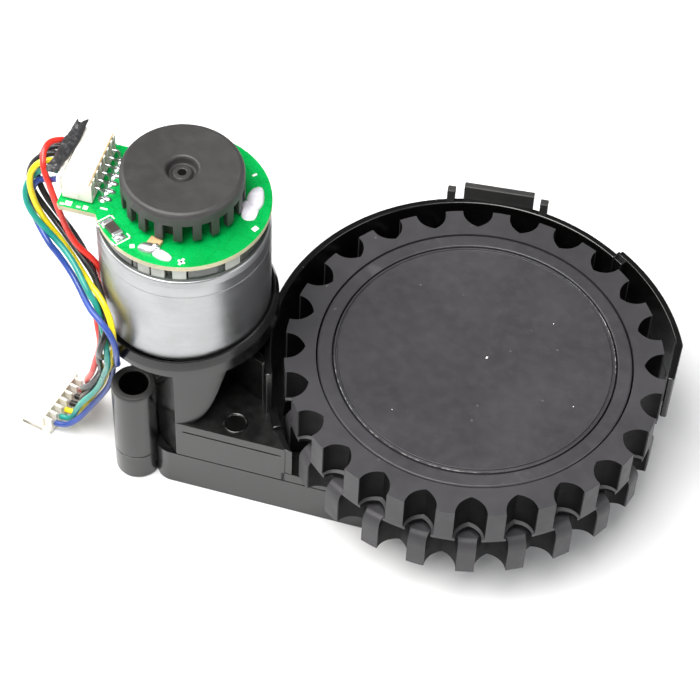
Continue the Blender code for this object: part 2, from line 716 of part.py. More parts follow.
combine(upper, adds=[floor_sector])
combine(upper, cuts=[up_cavity_a, up_cavity_b])
combine(
    upper,
    adds=[tower, cup, apron, tube_rib, tube, back, curb, brace, bearing_boss] + floor_ribs + clips + posts,
)
combine(upper, cuts=[well_cut])
combine(upper, adds=[skirt, wing, step])
upper_cuts = [
    tower_cavity,
    cylinder("motor_boss_hole", MOTOR, 3.4, 34.0, 45.0, 22),
    cylinder("pin_hole_top_1", GEAR_1, PIN_R + 0.2, 30.0, 38.4, 14),
    cylinder("pin_hole_top_2", GEAR_2, PIN_R + 0.2, 9.0, 12.3, 14),
    cylinder("pin_hole_top_3", GEAR_3, PIN_R + 0.2, 9.0, 12.3, 14),
    turned(
        "bearing_seat",
        [(0.0, 14.0), (3.1, 14.0), (3.1, 12.9), (4.3, 12.9), (4.3, 9.9), (4.9, 9.9), (4.9, 8.0), (0.0, 8.0)],
        AXLE,
        28,
    ),
    turned(
        "tube_bore_high",
        [(0.0, 30.0), (TUBE_BORE_R + 3.4, 30.0), (TUBE_BORE_R, TUBE_Z1 - 0.4), (TUBE_BORE_R, 5.0), (0.0, 5.0)],
        TUBE,
        28,
    ),
    block("groove_line", (-44.0, -24.55, 18.3), (24.0, 0.8, 0.35)),
]
motor_screw_spots = []
for a in (200.0, -60.0):
    motor_screw_spots.append(
        (MOTOR[0] + 10.4 * math.cos(math.radians(a)), MOTOR[1] + 10.4 * math.sin(math.radians(a)))
    )
for n, c in enumerate(motor_screw_spots):
    upper_cuts.append(cylinder("motor_screw_hole_%d" % n, c, 1.35, 30.0, 45.0, 14))
combine(upper, cuts=upper_cuts + post_cuts)
part(settle(upper), "gearbox_upper_shell", "shell_black")

# ---------------------------------------------------------------- screws
for n, centre in enumerate(SCREWS, 1):
    screw = turned(
        "housing_screw_%d" % n,
        [(0.0, 11.5), (0.5, 11.5), (1.0, 10.7), (1.0, 1.7), (2.0, 1.7), (2.0, 0.3), (0.0, 0.3)],
        centre,
        12,
    )
    combine(
        screw,
        cuts=[
            block("hs_slot_a_%d" % n, (centre[0], centre[1], 0.4), (2.2, 0.5, 1.2)),
        ],
    )
    part(settle(screw), "housing_screw_%d" % n, "steel")

for n, c in enumerate(motor_screw_spots, 1):
    screw = turned(
        "motor_screw_%d" % n,
        [(0.0, 40.9), (1.0, 40.9), (1.0, 36.5), (1.9, 36.5), (1.9, 35.2), (0.0, 35.2)],
        c,
        12,
    )
    combine(screw, cuts=[block("ms_slot_%d" % n, (c[0], c[1], 35.3), (2.4, 0.5, 1.0), 30.0)])
    part(settle(screw), "motor_screw_%d" % n, "steel")

# ---------------------------------------------------------------- the motor
can = turned(
    "motor_can",
    [
        (15.8, 65.0), (16.5, 65.0), (16.8, 64.6), (16.8, 40.4), (16.0, 39.5), (3.3, 39.5),
        (3.3, 40.6), (15.8, 40.6),
    ],
    MOTOR,
    36,
)
can_holes = [cylinder("can_screw_%d" % n, c, 1.3, 38.0, 42.0, 14) for n, c in enumerate(motor_screw_spots)]
combine(can, cuts=can_holes)
part(settle(can), "motor_can", "can_steel")

front_bush = turned(
    "motor_front_bush",
    [(1.0 + PLAY, 42.4), (4.4, 42.4), (4.4, 40.9), (3.0, 40.9), (3.0, 37.6), (1.0 + PLAY, 37.6)],
    MOTOR,
    16,
)
part(settle(front_bush), "motor_front_bush", "brass")

bell = turned(
    "motor_end_bell",
    [
        (2.7, 66.2), (13.2, 66.2), (13.2, 67.8), (16.2, 67.8), (16.2, 65.3), (15.5, 65.3),
        (15.5, 62.3), (13.6, 62.3), (13.6, 64.4), (2.7, 64.4),
    ],
    MOTOR,
    32,
)
TERMINALS = [(-59.0, -20.6), (-44.9, -4.2)]
bell_cuts = [
    block("terminal_slot_%d" % n, (x, y, 66.0), (3.2, 1.1, 8.0), math.degrees(math.atan2(y - MOTOR[1], x - MOTOR[0])) + 90.0)
    for n, (x, y) in enumerate(TERMINALS)
]
for n, a in enumerate((-118.0, -84.0, -38.0)):
    bell_cuts.append(
        block(
            "bell_notch_%d" % n,
            (MOTOR[0] + 16.2 * math.cos(math.radians(a)), MOTOR[1] + 16.2 * math.sin(math.radians(a)), 67.4),
            (2.4, 3.0, 2.4),
            a,
        )
    )
combine(bell, cuts=bell_cuts)
part(settle(bell), "motor_end_bell", "plug_white")

rear_bush = turned(
    "motor_rear_bush",
    [(1.0 + PLAY, 66.8), (2.4, 66.8), (2.4, 63.2), (1.0 + PLAY, 63.2)],
    MOTOR,
    16,
)
part(settle(rear_bush), "motor_rear_bush", "brass")

for side, a0 in (("left", 125.0), ("right", -55.0)):
    magnet = prism(
        "motor_magnet_" + side,
        arc(*MOTOR, 15.4, a0, a0 + 110.0, 14) + arc(*MOTOR, 12.8, a0 + 110.0, a0, 14),
        42.6,
        60.6,
    )
    part(settle(magnet), "motor_magnet_" + side, "magnet")

armature = turned(
    "motor_armature",
    [(1.3, 56.8), (8.0, 57.4), (12.0, 56.0), (12.0, 46.0), (8.0, 44.6), (1.3, 45.2)],
    MOTOR,
    28,
)
slots = []
for k in range(3):
    a = math.radians(30.0 + 120.0 * k)
    slots.append(
        block("armature_slot_%d" % k, (MOTOR[0] + 10.6 * math.cos(a), MOTOR[1] + 10.6 * math.sin(a), 51.0), (6.4, 1.6, 20.0), math.degrees(a))
    )
combine(armature, cuts=slots)
part(settle(armature), "motor_armature", "copper")

commutator = turned(
    "motor_commutator",
    [(1.3, 61.6), (2.9, 61.6), (2.9, 58.6), (3.4, 58.4), (3.4, 57.9), (1.3, 57.9)],
    MOTOR,
    16,
)
part(settle(commutator), "motor_commutator", "copper")

shaft = turned(
    "motor_shaft",
    [(0.0, 76.2), (1.0, 76.2), (1.0, 27.2), (0.8, 27.0), (0.0, 27.0)],
    MOTOR,
    16,
)
part(settle(shaft), "motor_shaft", "steel")

for side, s in (("left", -1), ("right", 1)):
    brush = block("brush_" + side, (MOTOR[0] + s * 5.3, MOTOR[1], 60.0), (4.2, 2.4, 1.9))
    combine(brush, adds=[block("brush_arm_" + side, (MOTOR[0] + s * 8.6, MOTOR[1], 61.2), (6.0, 1.6, 0.8))])
    part(settle(brush), "brush_" + side, "copper")

# encoder cap: closed top, open-ended slots round its skirt
cap = turned(
    "encoder_disc",
    [
        (0.0, 77.1), (1.9, 77.1), (1.9, 76.7), (3.2, 76.7), (3.3, 77.8), (11.2, 77.8), (11.8, 77.1),
        (11.8, 70.5), (10.6, 70.5), (10.6, 75.6), (3.2, 75.6), (3.2, 72.0), (0.0, 72.0),
    ],
    MOTOR,
    40,
)
cap_cuts = [cylinder("cap_bore", MOTOR, 1.0 + FIT, 60.0, 76.4, 14), cylinder("cap_eye", MOTOR, 0.75, 76.0, 80.0, 10)]
for k in range(20):
    a = 360.0 * k / 20 + 4.5
    ca, sa = math.cos(math.radians(a)), math.sin(math.radians(a))
    cap_cuts.append(block("cap_slot_%d" % k, (MOTOR[0] + 11.2 * ca, MOTOR[1] + 11.2 * sa, 71.6), (2.4, 1.85, 6.4), a))
combine(cap, cuts=cap_cuts)
part(settle(cap), "encoder_disc", "shell_black")

# ---------------------------------------------------------------- encoder board
TAB_Y0, TAB_Y1, TAB_X = -15.6, 2.3, -80.2
board_pts = []
a_up = math.degrees(math.asin((TAB_Y1 - MOTOR[1]) / BOARD_R))
a_dn = math.degrees(math.asin((TAB_Y0 - MOTOR[1]) / BOARD_R))
board_pts += arc(*MOTOR, BOARD_R, -180.0 - a_dn, 180.0 - a_up, 44)
board_pts += [(TAB_X + 0.6, TAB_Y1), (TAB_X, TAB_Y1 - 0.6), (TAB_X, TAB_Y0 + 0.6), (TAB_X + 0.6, TAB_Y0)]
board = prism("encoder_board", board_pts, BOARD_Z0, BOARD_Z1, origin=MOTOR)
board_cuts = [cylinder("board_hole", MOTOR, 3.6, 60.0, 75.0, 20)]
for n, (x, y) in enumerate(TERMINALS):
    turn = math.degrees(math.atan2(y - MOTOR[1], x - MOTOR[0])) + 90.0
    board_cuts.append(block("board_slot_%d" % n, (x, y, 68.7), (3.2, 1.1, 4.0), turn))
    terminal = block("motor_terminal_%d" % n, (x, y, 67.7), (2.4, 0.45, 6.6), turn)
    part(settle(terminal), "motor_terminal_" + ("left", "right")[n], "brass")
PIN_Y = [-6.6 + 5.0 - 2.0 * k for k in range(6)]
HEADER_X1 = -73.6
for k, y in enumerate(PIN_Y):
    board_cuts.append(cylinder("pin_pad_%d" % k, (-72.2, y), 0.62, 60.0, 75.0, 8))
combine(board, cuts=board_cuts)
part(settle(board), "encoder_board", "board_green")

sensor = block("encoder_sensor", (MOTOR[0] + 0.2, MOTOR[1] - 8.2, 70.8), (3.2, 2.2, 2.4))
part(settle(sensor), "encoder_sensor", "chip")
chip = block("chip_resistor", (-67.9, -18.4, 69.95), (5.0, 2.5, 0.7), -38.0)
part(settle(chip), "chip_resistor", "chip")

# header: open box with its mouth toward -X, pins bent down to the board
header = block("board_header", (-76.6, -6.6, 72.05), (6.0, 13.9, 4.9))
combine(
    header,
    cuts=[
        block("header_mouth", (-78.2, -6.6, 72.1), (6.2, 12.1, 3.3)),
        block("header_notch", (-78.6, -6.6, 74.2), (3.4, 4.0, 2.2)),
    ]
    + [block("header_pin_hole_%d" % k, (-74.4, y, 72.0), (3.0, 1.1, 1.1)) for k, y in enumerate(PIN_Y)],
)
part(settle(header), "board_header", "plug_white")

for k, y in enumerate(PIN_Y):
    pin = upright(
        "header_pin_%d" % (k + 1),
        [(-77.6, 71.75), (-72.45, 71.75), (-72.45, 68.0), (-71.95, 68.0), (-71.95, 72.25), (-77.6, 72.25)],
        y - 0.25,
        y + 0.25,
    )
    part(settle(pin), "header_pin_%d" % (k + 1), "steel")

plug = block("board_plug", (-78.75, -6.6, 72.1), (4.1, 11.5, 2.7))
combine(
    plug,
    adds=[block("plug_lip", (-80.4, -6.6, 72.25), (1.0, 12.6, 3.4))],
    cuts=[block("plug_socket_%d" % k, (-77.2, y, 72.0), (2.6, 1.2, 1.2)) for k, y in enumerate(PIN_Y)],
)
part(settle(plug), "board_plug", "plug_white")

# ---------------------------------------------------------------- free plug
PLUG_DIR = math.degrees(math.atan2(-0.221, 0.975))      # wires leave along this
ROW_C = (-82.6, -14.3)
ROW_PITCH = 2.0
ux, uy = math.cos(math.radians(PLUG_DIR)), math.sin(math.radians(PLUG_DIR))
vx, vy = uy, -ux                                        # along the row, to the blue wire
FREE_Z = 2.2
free_plug = block(
    "free_plug", (ROW_C[0] - ux * 3.6, ROW_C[1] - uy * 3.6, FREE_Z), (7.0, 13.8, 4.4), PLUG_DIR
)
free_cuts = []
for k in range(6):
    o = (k - 2.5) * ROW_PITCH
    free_cuts.append(
        block(
            "free_window_%d" % k,
            (ROW_C[0] - ux * 1.6 + vx * o, ROW_C[1] - uy * 1.6 + vy * o, FREE_Z + 2.3),
            (1.6, 1.1, 1.6),
            PLUG_DIR,
        )
    )
combine(free_plug, cuts=free_cuts)
part(settle(free_plug), "free_plug", "plug_white")

# ---------------------------------------------------------------- wires
WIRE_R = 0.62
# middle line of each wire, from the board plug to the free plug
ROUTES = {
    "red": [
        (-81.30, -1.60, 71.95), (-83.98, -1.76, 71.71), (-85.70, -2.63, 70.41), (-86.42, -3.83, 68.44), (-86.23, -5.08, 66.15),
        (-85.34, -6.20, 63.76), (-84.05, -7.17, 61.42), (-82.60, -8.06, 59.20), (-81.06, -8.98, 57.12), (-79.46, -10.00, 55.19),
        (-77.79, -11.19, 53.41), (-76.14, -12.57, 51.75), (-74.64, -14.18, 50.14), (-73.42, -16.02, 48.50), (-72.55, -17.98, 46.80),
        (-72.02, -19.76, 44.89), (-71.55, -20.87, 42.69), (-71.20, -21.26, 40.24), (-71.17, -21.19, 37.61), (-71.49, -20.93, 34.93),
        (-72.07, -20.68, 32.27), (-72.73, -20.55, 29.63), (-73.31, -20.44, 27.04), (-74.01, -20.07, 24.54), (-74.85, -19.32, 22.16),
        (-75.71, -18.26, 19.85), (-76.35, -17.16, 17.47), (-76.75, -16.09, 15.02), (-77.04, -14.95, 12.52), (-77.27, -13.73, 9.95),
        (-77.49, -12.46, 7.33), (-77.90, -11.24, 4.86), (-78.96, -10.19, 2.96), (-81.30, -9.47, 2.20),
    ],
    "black_1": [
        (-81.30, -3.60, 71.95), (-83.99, -3.68, 71.77), (-86.08, -4.31, 70.59), (-87.29, -5.28, 68.76), (-87.45, -6.41, 66.61),
        (-86.66, -7.50, 64.40), (-85.20, -8.45, 62.26), (-83.38, -9.24, 60.27), (-81.45, -9.98, 58.40), (-79.54, -10.79, 56.62),
        (-77.71, -11.78, 54.91), (-75.99, -13.00, 53.25), (-74.42, -14.47, 51.60), (-73.06, -16.15, 49.92), (-71.94, -18.01, 48.21),
        (-71.13, -19.82, 46.37), (-70.59, -21.28, 44.29), (-70.28, -22.10, 41.96), (-70.33, -22.41, 39.42), (-70.75, -22.42, 36.78),
        (-71.25, -22.22, 34.12), (-71.39, -21.77, 31.50), (-71.53, -21.00, 28.98), (-71.95, -20.10, 26.52), (-72.62, -19.44, 24.05),
        (-73.52, -19.15, 21.60), (-74.66, -19.00, 19.27), (-76.02, -18.54, 17.16), (-77.24, -17.57, 15.13), (-77.90, -16.37, 12.85),
        (-78.03, -15.20, 10.25), (-78.04, -14.06, 7.51), (-78.33, -13.00, 4.92), (-79.38, -12.09, 2.97), (-81.74, -11.42, 2.20),
    ],
    "black_2": [
        (-81.30, -5.60, 71.95), (-83.97, -5.58, 71.83), (-86.30, -5.97, 70.73), (-87.95, -6.59, 68.91), (-88.67, -7.27, 66.66),
        (-88.39, -7.94, 64.30), (-87.24, -8.59, 62.09), (-85.49, -9.29, 60.19), (-83.50, -10.22, 58.57), (-81.45, -11.36, 57.17),
        (-79.40, -12.60, 55.90), (-77.38, -13.83, 54.65), (-75.43, -15.00, 53.30), (-73.60, -16.19, 51.82), (-72.01, -17.64, 50.20),
        (-70.59, -19.40, 48.56), (-69.28, -21.22, 46.91), (-68.70, -23.07, 45.15), (-68.87, -24.63, 43.21), (-69.43, -25.40, 41.01),
        (-69.79, -25.10, 38.68), (-69.83, -23.90, 36.34), (-69.89, -22.33, 34.08), (-70.19, -20.79, 31.79), (-70.64, -19.51, 29.44),
        (-71.21, -18.53, 27.02), (-71.95, -17.88, 24.57), (-72.86, -17.55, 22.09), (-73.87, -17.52, 19.59), (-74.83, -17.67, 17.07),
        (-75.88, -17.74, 14.66), (-77.07, -17.44, 12.40), (-78.05, -16.68, 10.09), (-78.52, -15.72, 7.53), (-78.87, -14.78, 4.96),
        (-79.80, -13.97, 2.95), (-82.18, -13.37, 2.20),
    ],
    "yellow": [
        (-81.30, -7.60, 71.95), (-84.02, -7.51, 71.88), (-86.28, -8.33, 70.98), (-87.46, -9.35, 69.05), (-87.56, -10.06, 66.32),
        (-87.02, -10.41, 63.35), (-86.09, -10.63, 60.53), (-84.81, -10.82, 58.05), (-83.19, -11.17, 55.90), (-81.34, -11.83, 54.10),
        (-79.39, -12.93, 52.68), (-77.43, -14.46, 51.71), (-75.48, -16.27, 51.19), (-73.50, -18.11, 50.88), (-71.36, -19.66, 50.33),
        (-69.54, -21.20, 49.22), (-68.16, -22.57, 47.48), (-67.34, -23.57, 45.23), (-67.10, -23.98, 42.65), (-67.25, -23.87, 40.00),
        (-67.79, -23.58, 37.41), (-68.36, -22.95, 34.88), (-68.89, -21.99, 32.37), (-69.58, -21.03, 29.90), (-70.32, -20.19, 27.38),
        (-71.07, -19.44, 24.83), (-71.79, -18.70, 22.29), (-72.46, -17.98, 19.75), (-73.30, -17.43, 17.26), (-74.38, -17.16, 14.82),
        (-75.57, -17.15, 12.36), (-76.74, -17.20, 9.86), (-77.87, -17.05, 7.37), (-78.93, -16.59, 4.99), (-80.30, -15.94, 3.08),
        (-82.63, -15.32, 2.20),
    ],
    "green": [
        (-81.30, -9.60, 71.95), (-83.73, -9.13, 71.40), (-85.51, -8.44, 69.66), (-87.21, -8.29, 67.71), (-88.44, -8.91, 65.75),
        (-88.79, -9.93, 63.74), (-88.14, -10.93, 61.67), (-86.68, -11.71, 59.62), (-84.71, -12.29, 57.73), (-82.55, -12.94, 56.08),
        (-80.39, -13.90, 54.74), (-78.32, -15.25, 53.69), (-76.39, -16.95, 52.81), (-74.62, -18.74, 51.87), (-72.99, -20.17, 50.59),
        (-71.47, -20.94, 48.80), (-70.56, -21.76, 46.58), (-69.77, -22.70, 44.18), (-68.95, -23.71, 41.81), (-68.43, -24.63, 39.53),
        (-68.34, -24.94, 37.21), (-68.59, -24.51, 34.83), (-69.16, -23.63, 32.39), (-69.89, -22.60, 29.91), (-70.65, -21.63, 27.41),
        (-71.37, -20.79, 24.89), (-72.08, -20.12, 22.38), (-72.91, -19.63, 19.91), (-73.95, -19.36, 17.50), (-75.23, -19.23, 15.17),
        (-76.61, -19.12, 12.84), (-77.86, -18.92, 10.40), (-78.84, -18.58, 7.81), (-79.66, -18.18, 5.24), (-80.80, -17.78, 3.14),
        (-83.07, -17.27, 2.20),
    ],
    "blue": [
        (-81.30, -11.60, 71.95), (-83.53, -11.04, 71.23), (-85.43, -10.89, 69.59), (-86.77, -11.12, 67.40), (-87.39, -11.66, 64.96),
        (-87.20, -12.35, 62.48), (-86.27, -13.03, 60.08), (-84.82, -13.64, 57.81), (-83.07, -14.19, 55.67), (-81.19, -14.82, 53.68),
        (-79.29, -15.69, 51.91), (-77.42, -16.91, 50.47), (-75.62, -18.55, 49.47), (-73.83, -20.50, 48.87), (-71.90, -22.38, 48.40),
        (-69.76, -23.73, 47.67), (-67.95, -24.66, 46.35), (-66.80, -25.15, 44.34), (-66.35, -25.22, 41.83), (-66.40, -24.85, 39.10),
        (-66.71, -24.05, 36.38), (-67.13, -22.74, 33.79), (-67.82, -21.20, 31.36), (-68.82, -19.79, 29.04), (-69.70, -18.83, 26.72),
        (-70.13, -18.44, 24.31), (-70.55, -18.32, 21.78), (-71.23, -18.24, 19.21), (-72.22, -18.12, 16.68), (-73.40, -18.04, 14.21),
        (-74.71, -18.15, 11.79), (-76.10, -18.48, 9.38), (-77.55, -18.96, 7.00), (-79.16, -19.40, 4.79), (-81.10, -19.53, 3.07),
        (-83.51, -19.22, 2.20),
    ],
}


def spline_point(points, u):
    """Catmull-Rom through the points; u runs over 0..len-1."""
    n = len(points) - 1
    i = min(int(u), n - 1)
    t = u - i
    p1, p2 = Vector(points[i]), Vector(points[i + 1])
    p0 = Vector(points[i - 1]) if i > 0 else p1 * 2 - p2
    p3 = Vector(points[i + 2]) if i + 2 <= n else p2 * 2 - p1
    return 0.5 * ((2 * p1) + (p2 - p0) * t + (2 * p0 - 5 * p1 + 4 * p2 - p3) * t * t + (3 * p1 - p0 - 3 * p2 + p3) * t ** 3)


for key, pts in ROUTES.items():
    curve = bpy.data.curves.new("wire_" + key, "CURVE")
    curve.dimensions = "3D"
    curve.bevel_depth = WIRE_R * MM
    curve.bevel_resolution = 2
    curve.use_fill_caps = True
    spline = curve.splines.new("POLY")
    spline.points.add(len(pts) - 1)
    for point, (x, y, z) in zip(spline.points, pts):
        point.co = (x * MM, y * MM, z * MM, 1.0)
    wire = bpy.data.objects.new("wire_" + key, curve)
    PARTS.objects.link(wire)
    wire.parent = FRAME
    wire.data.materials.append(finish("wire_" + key, "wire_" + key.split("_")[0]))

# tape laid over the wires where they leave the board plug
tape_line = [(-80.4, 1.6, 75.8), (-80.7, -1.5, 75.4), (-81.1, -5.0, 75.2), (-81.5, -8.5, 75.1), (-82.0, -11.5, 74.8), (-82.7, -13.8, 73.9)]
tape_mesh = bpy.data.meshes.new("harness_tape")
bm = bmesh.new()
rows = []
for i in range(11):
    c = spline_point(tape_line, (len(tape_line) - 1) * i / 10.0)
    rows.append([bm.verts.new(((c.x + dx) * MM, c.y * MM, (c.z + dz) * MM)) for dx, dz in ((-1.5, -0.35), (-0.5, 0.1), (0.6, 0.1), (1.5, -0.3))])
for a, b in zip(rows, rows[1:]):
    for j in range(3):
        bm.faces.new((a[j], a[j + 1], b[j + 1], b[j]))
bm.to_mesh(tape_mesh)
bm.free()
tape = bpy.data.objects.new("harness_tape", tape_mesh)
link(tape, True)
solid = tape.modifiers.new("thickness", "SOLIDIFY")
solid.thickness = 0.3 * MM
solid.offset = 0.0
part(settle(tape), "harness_tape", "tape_black")
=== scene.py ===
# Looks of the robot vacuum drive wheel module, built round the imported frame.
# Dimensions below are millimetres about the wheel's axis, heights from the floor.
import json
import math
import random

import bpy
import bmesh
from mathutils import Matrix, Vector, noise

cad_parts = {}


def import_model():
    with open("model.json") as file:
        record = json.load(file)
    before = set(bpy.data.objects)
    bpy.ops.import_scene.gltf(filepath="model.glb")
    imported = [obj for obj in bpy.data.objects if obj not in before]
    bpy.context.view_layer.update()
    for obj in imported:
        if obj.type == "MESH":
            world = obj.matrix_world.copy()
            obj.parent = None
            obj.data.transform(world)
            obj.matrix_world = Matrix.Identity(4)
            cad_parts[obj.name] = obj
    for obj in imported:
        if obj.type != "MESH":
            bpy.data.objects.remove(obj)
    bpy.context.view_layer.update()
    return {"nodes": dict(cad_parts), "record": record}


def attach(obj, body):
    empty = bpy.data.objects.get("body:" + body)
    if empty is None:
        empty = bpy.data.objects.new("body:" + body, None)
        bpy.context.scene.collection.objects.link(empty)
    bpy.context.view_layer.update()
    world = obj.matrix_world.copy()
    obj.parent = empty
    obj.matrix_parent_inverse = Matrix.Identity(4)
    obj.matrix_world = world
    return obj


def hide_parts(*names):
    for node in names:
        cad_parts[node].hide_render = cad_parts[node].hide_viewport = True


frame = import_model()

OX, OY = 20.774, -2.385         # wheel axis in the part's frame
MM = 0.001
RND = random.Random(11)
NODES = frame["nodes"]

MOTOR = (-57.8, -7.0)
WELL_C = (-1.1, 0.3)
WELL_R, SHROUD_R = 39.6, 41.0
TUBE = (-64.5, -21.5)
GEAR_1 = (-50.1386, -1.3828)
GEAR_2 = (-34.6, 0.0)
PIN_Y = [-6.6 + 5.0 - 2.0 * k for k in range(6)]
PLUG_DIR = math.degrees(math.atan2(-0.221, 0.975))
UX, UY = math.cos(math.radians(PLUG_DIR)), math.sin(math.radians(PLUG_DIR))
VX, VY = UY, -UX
ROW_C = (-82.6, -14.3)


def world(p):
    return Vector(((p[0] + OX) * MM, (p[1] + OY) * MM, p[2] * MM))


# ------------------------------------------------------------------ camera
def set_camera():
    eye = world((43.65, -291.05, 417.33))
    fwd = Vector((-0.1405, 0.5905, -0.7947)).normalized()
    right = Vector((0.9621, 0.2707, 0.0311))
    right = (right - fwd * right.dot(fwd)).normalized()
    up = right.cross(fwd)
    cam = bpy.data.cameras.new("view_camera")
    cam.sensor_width = 36.0
    cam.sensor_fit = "HORIZONTAL"
    cam.lens = 124.8
    cam.clip_start = 0.02
    cam.clip_end = 20.0
    obj = bpy.data.objects.new("view_camera", cam)
    m = Matrix((right, up, -fwd)).transposed().to_4x4()
    m.translation = eye
    obj.matrix_world = m
    bpy.context.scene.collection.objects.link(obj)
    bpy.context.scene.camera = obj


set_camera()

# ------------------------------------------------------------------ node helpers
def new_material(name):
    mat = bpy.data.materials.new(name)
    mat.use_nodes = True
    nt = mat.node_tree
    bsdf = nt.nodes["Principled BSDF"]
    return mat, nt, bsdf


def coords(nt, stretch=(1.0, 1.0, 1.0)):
    tex = nt.nodes.new("ShaderNodeTexCoord")
    mp = nt.nodes.new("ShaderNodeMapping")
    mp.inputs["Scale"].default_value = stretch
    nt.links.new(tex.outputs["Object"], mp.inputs["Vector"])
    return mp.outputs["Vector"]


def noise_tex(nt, vec, scale, detail=4.0, rough=0.55, distort=0.0):
    n = nt.nodes.new("ShaderNodeTexNoise")
    n.inputs["Scale"].default_value = scale
    n.inputs["Detail"].default_value = detail
    n.inputs["Roughness"].default_value = rough
    n.inputs["Distortion"].default_value = distort
    nt.links.new(vec, n.inputs["Vector"])
    return n.outputs["Fac"]


def voronoi(nt, vec, scale, feature="F1", rand=1.0):
    n = nt.nodes.new("ShaderNodeTexVoronoi")
    n.feature = feature
    n.inputs["Scale"].default_value = scale
    n.inputs["Randomness"].default_value = rand
    nt.links.new(vec, n.inputs["Vector"])
    return n


def remap(nt, value, a, b, c, d, smooth=False):
    n = nt.nodes.new("ShaderNodeMapRange")
    n.interpolation_type = "SMOOTHSTEP" if smooth else "LINEAR"
    n.inputs["From Min"].default_value = a
    n.inputs["From Max"].default_value = b
    n.inputs["To Min"].default_value = c
    n.inputs["To Max"].default_value = d
    nt.links.new(value, n.inputs["Value"])
    return n.outputs["Result"]


def math_node(nt, op, a, b=None):
    n = nt.nodes.new("ShaderNodeMath")
    n.operation = op
    for sock, v in zip(n.inputs, (a, b)):
        if v is None:
            continue
        if isinstance(v, (int, float)):
            sock.default_value = v
        else:
            nt.links.new(v, sock)
    return n.outputs[0]


def mix_colour(nt, fac, a, b, blend="MIX"):
    n = nt.nodes.new("ShaderNodeMix")
    n.data_type = "RGBA"
    n.blend_type = blend
    n.clamp_factor = True
    if isinstance(fac, (int, float)):
        n.inputs[0].default_value = fac
    else:
        nt.links.new(fac, n.inputs[0])
    for sock, v in ((n.inputs[6], a), (n.inputs[7], b)):
        if isinstance(v, (tuple, list)):
            sock.default_value = (*v[:3], 1.0)
        else:
            nt.links.new(v, sock)
    return n.outputs[2]


def ramp(nt, value, stops):
    n = nt.nodes.new("ShaderNodeValToRGB")
    e = n.color_ramp.elements
    while len(e) < len(stops):
        e.new(0.5)
    for el, (pos, col) in zip(e, stops):
        el.position = pos
        el.color = (*col, 1.0)
    nt.links.new(value, n.inputs["Fac"])
    return n.outputs["Color"]


def bump_chain(nt, layers, radius=0.0):
    """Stacked bumps, each (height, strength, distance in metres), over softly rounded edges."""
    normal = None
    if radius > 0:
        bv = nt.nodes.new("ShaderNodeBevel")
        bv.samples = 6
        bv.inputs["Radius"].default_value = radius
        normal = bv.outputs["Normal"]
    for height, strength, dist in layers:
        b = nt.nodes.new("ShaderNodeBump")
        b.inputs["Strength"].default_value = strength
        b.inputs["Distance"].default_value = dist
        nt.links.new(height, b.inputs["Height"])
        if normal is not None:
            nt.links.new(normal, b.inputs["Normal"])
        normal = b.outputs["Normal"]
    return normal


def plastic(name, base, rough, grain=0.12, grain_scale=2600.0, mottle=0.14, radius=0.0, specks=0.0,
            scuff=0.0, edge=0.25, spec=0.5, coat=0.0, warm=None, wave=0.15, vary=1.0):
    """Moulded black or coloured plastic: fine grain, slow mottling, rubbed edges, a little dust."""
    mat, nt, bsdf = new_material(name)
    vec = coords(nt)
    slow = noise_tex(nt, vec, 55.0, 3.0, 0.6)
    mid = noise_tex(nt, vec, 420.0, 4.0, 0.6)
    fine = noise_tex(nt, vec, grain_scale, 3.0, 0.6)
    lo = tuple(c * (1 - mottle) for c in base)
    hi = tuple(min(1.0, c * (1 + mottle)) for c in (warm or base))
    col = mix_colour(nt, remap(nt, slow, 0.32, 0.68, 0.0, 1.0, True), lo, hi)
    col = mix_colour(nt, remap(nt, mid, 0.45, 0.75, 0.0, 0.22), col, tuple(min(1.0, c * 1.35 + 0.004) for c in base))
    rgh = remap(nt, mid, 0.3, 0.7, rough - 0.05 * vary, rough + 0.07 * vary)
    if edge > 0:
        geo = nt.nodes.new("ShaderNodeNewGeometry")
        worn = remap(nt, geo.outputs["Pointiness"], 0.52, 0.60, 0.0, edge, True)
        worn = math_node(nt, "MULTIPLY", worn, remap(nt, mid, 0.35, 0.6, 0.3, 1.0))
        col = mix_colour(nt, worn, col, tuple(min(1.0, c * 2.2 + 0.05) for c in base))
    if specks > 0:
        v = voronoi(nt, vec, 330.0)
        dot = remap(nt, v.outputs["Distance"], 0.05, 0.11, 1.0, 0.0, True)
        sep = nt.nodes.new("ShaderNodeSeparateColor")
        nt.links.new(v.outputs["Color"], sep.inputs["Color"])
        rare = remap(nt, sep.outputs["Red"], 0.86, 0.90, 0.0, 1.0)
        dot = math_node(nt, "MULTIPLY", dot, rare)
        dot = math_node(nt, "MULTIPLY", dot, specks)
        col = mix_colour(nt, dot, col, (0.62, 0.61, 0.60))
    if scuff > 0:
        long = noise_tex(nt, coords(nt, (260.0, 1500.0, 500.0)), 1.0, 5.0, 0.7, 0.6)
        line = remap(nt, long, 0.66, 0.72, 0.0, scuff, True)
        col = mix_colour(nt, line, col, tuple(min(1.0, c * 3.0 + 0.03) for c in base))
        rgh = math_node(nt, "ADD", rgh, math_node(nt, "MULTIPLY", line, 0.2))
    nt.links.new(col, bsdf.inputs["Base Color"])
    nt.links.new(rgh, bsdf.inputs["Roughness"])
    bsdf.inputs["Specular IOR Level"].default_value = spec
    bsdf.inputs["Coat Weight"].default_value = coat
    bsdf.inputs["Coat Roughness"].default_value = 0.12
    normal = bump_chain(nt, [(slow, wave, 0.00012), (fine, grain, 0.00003)], radius)
    nt.links.new(normal, bsdf.inputs["Normal"])
    return mat


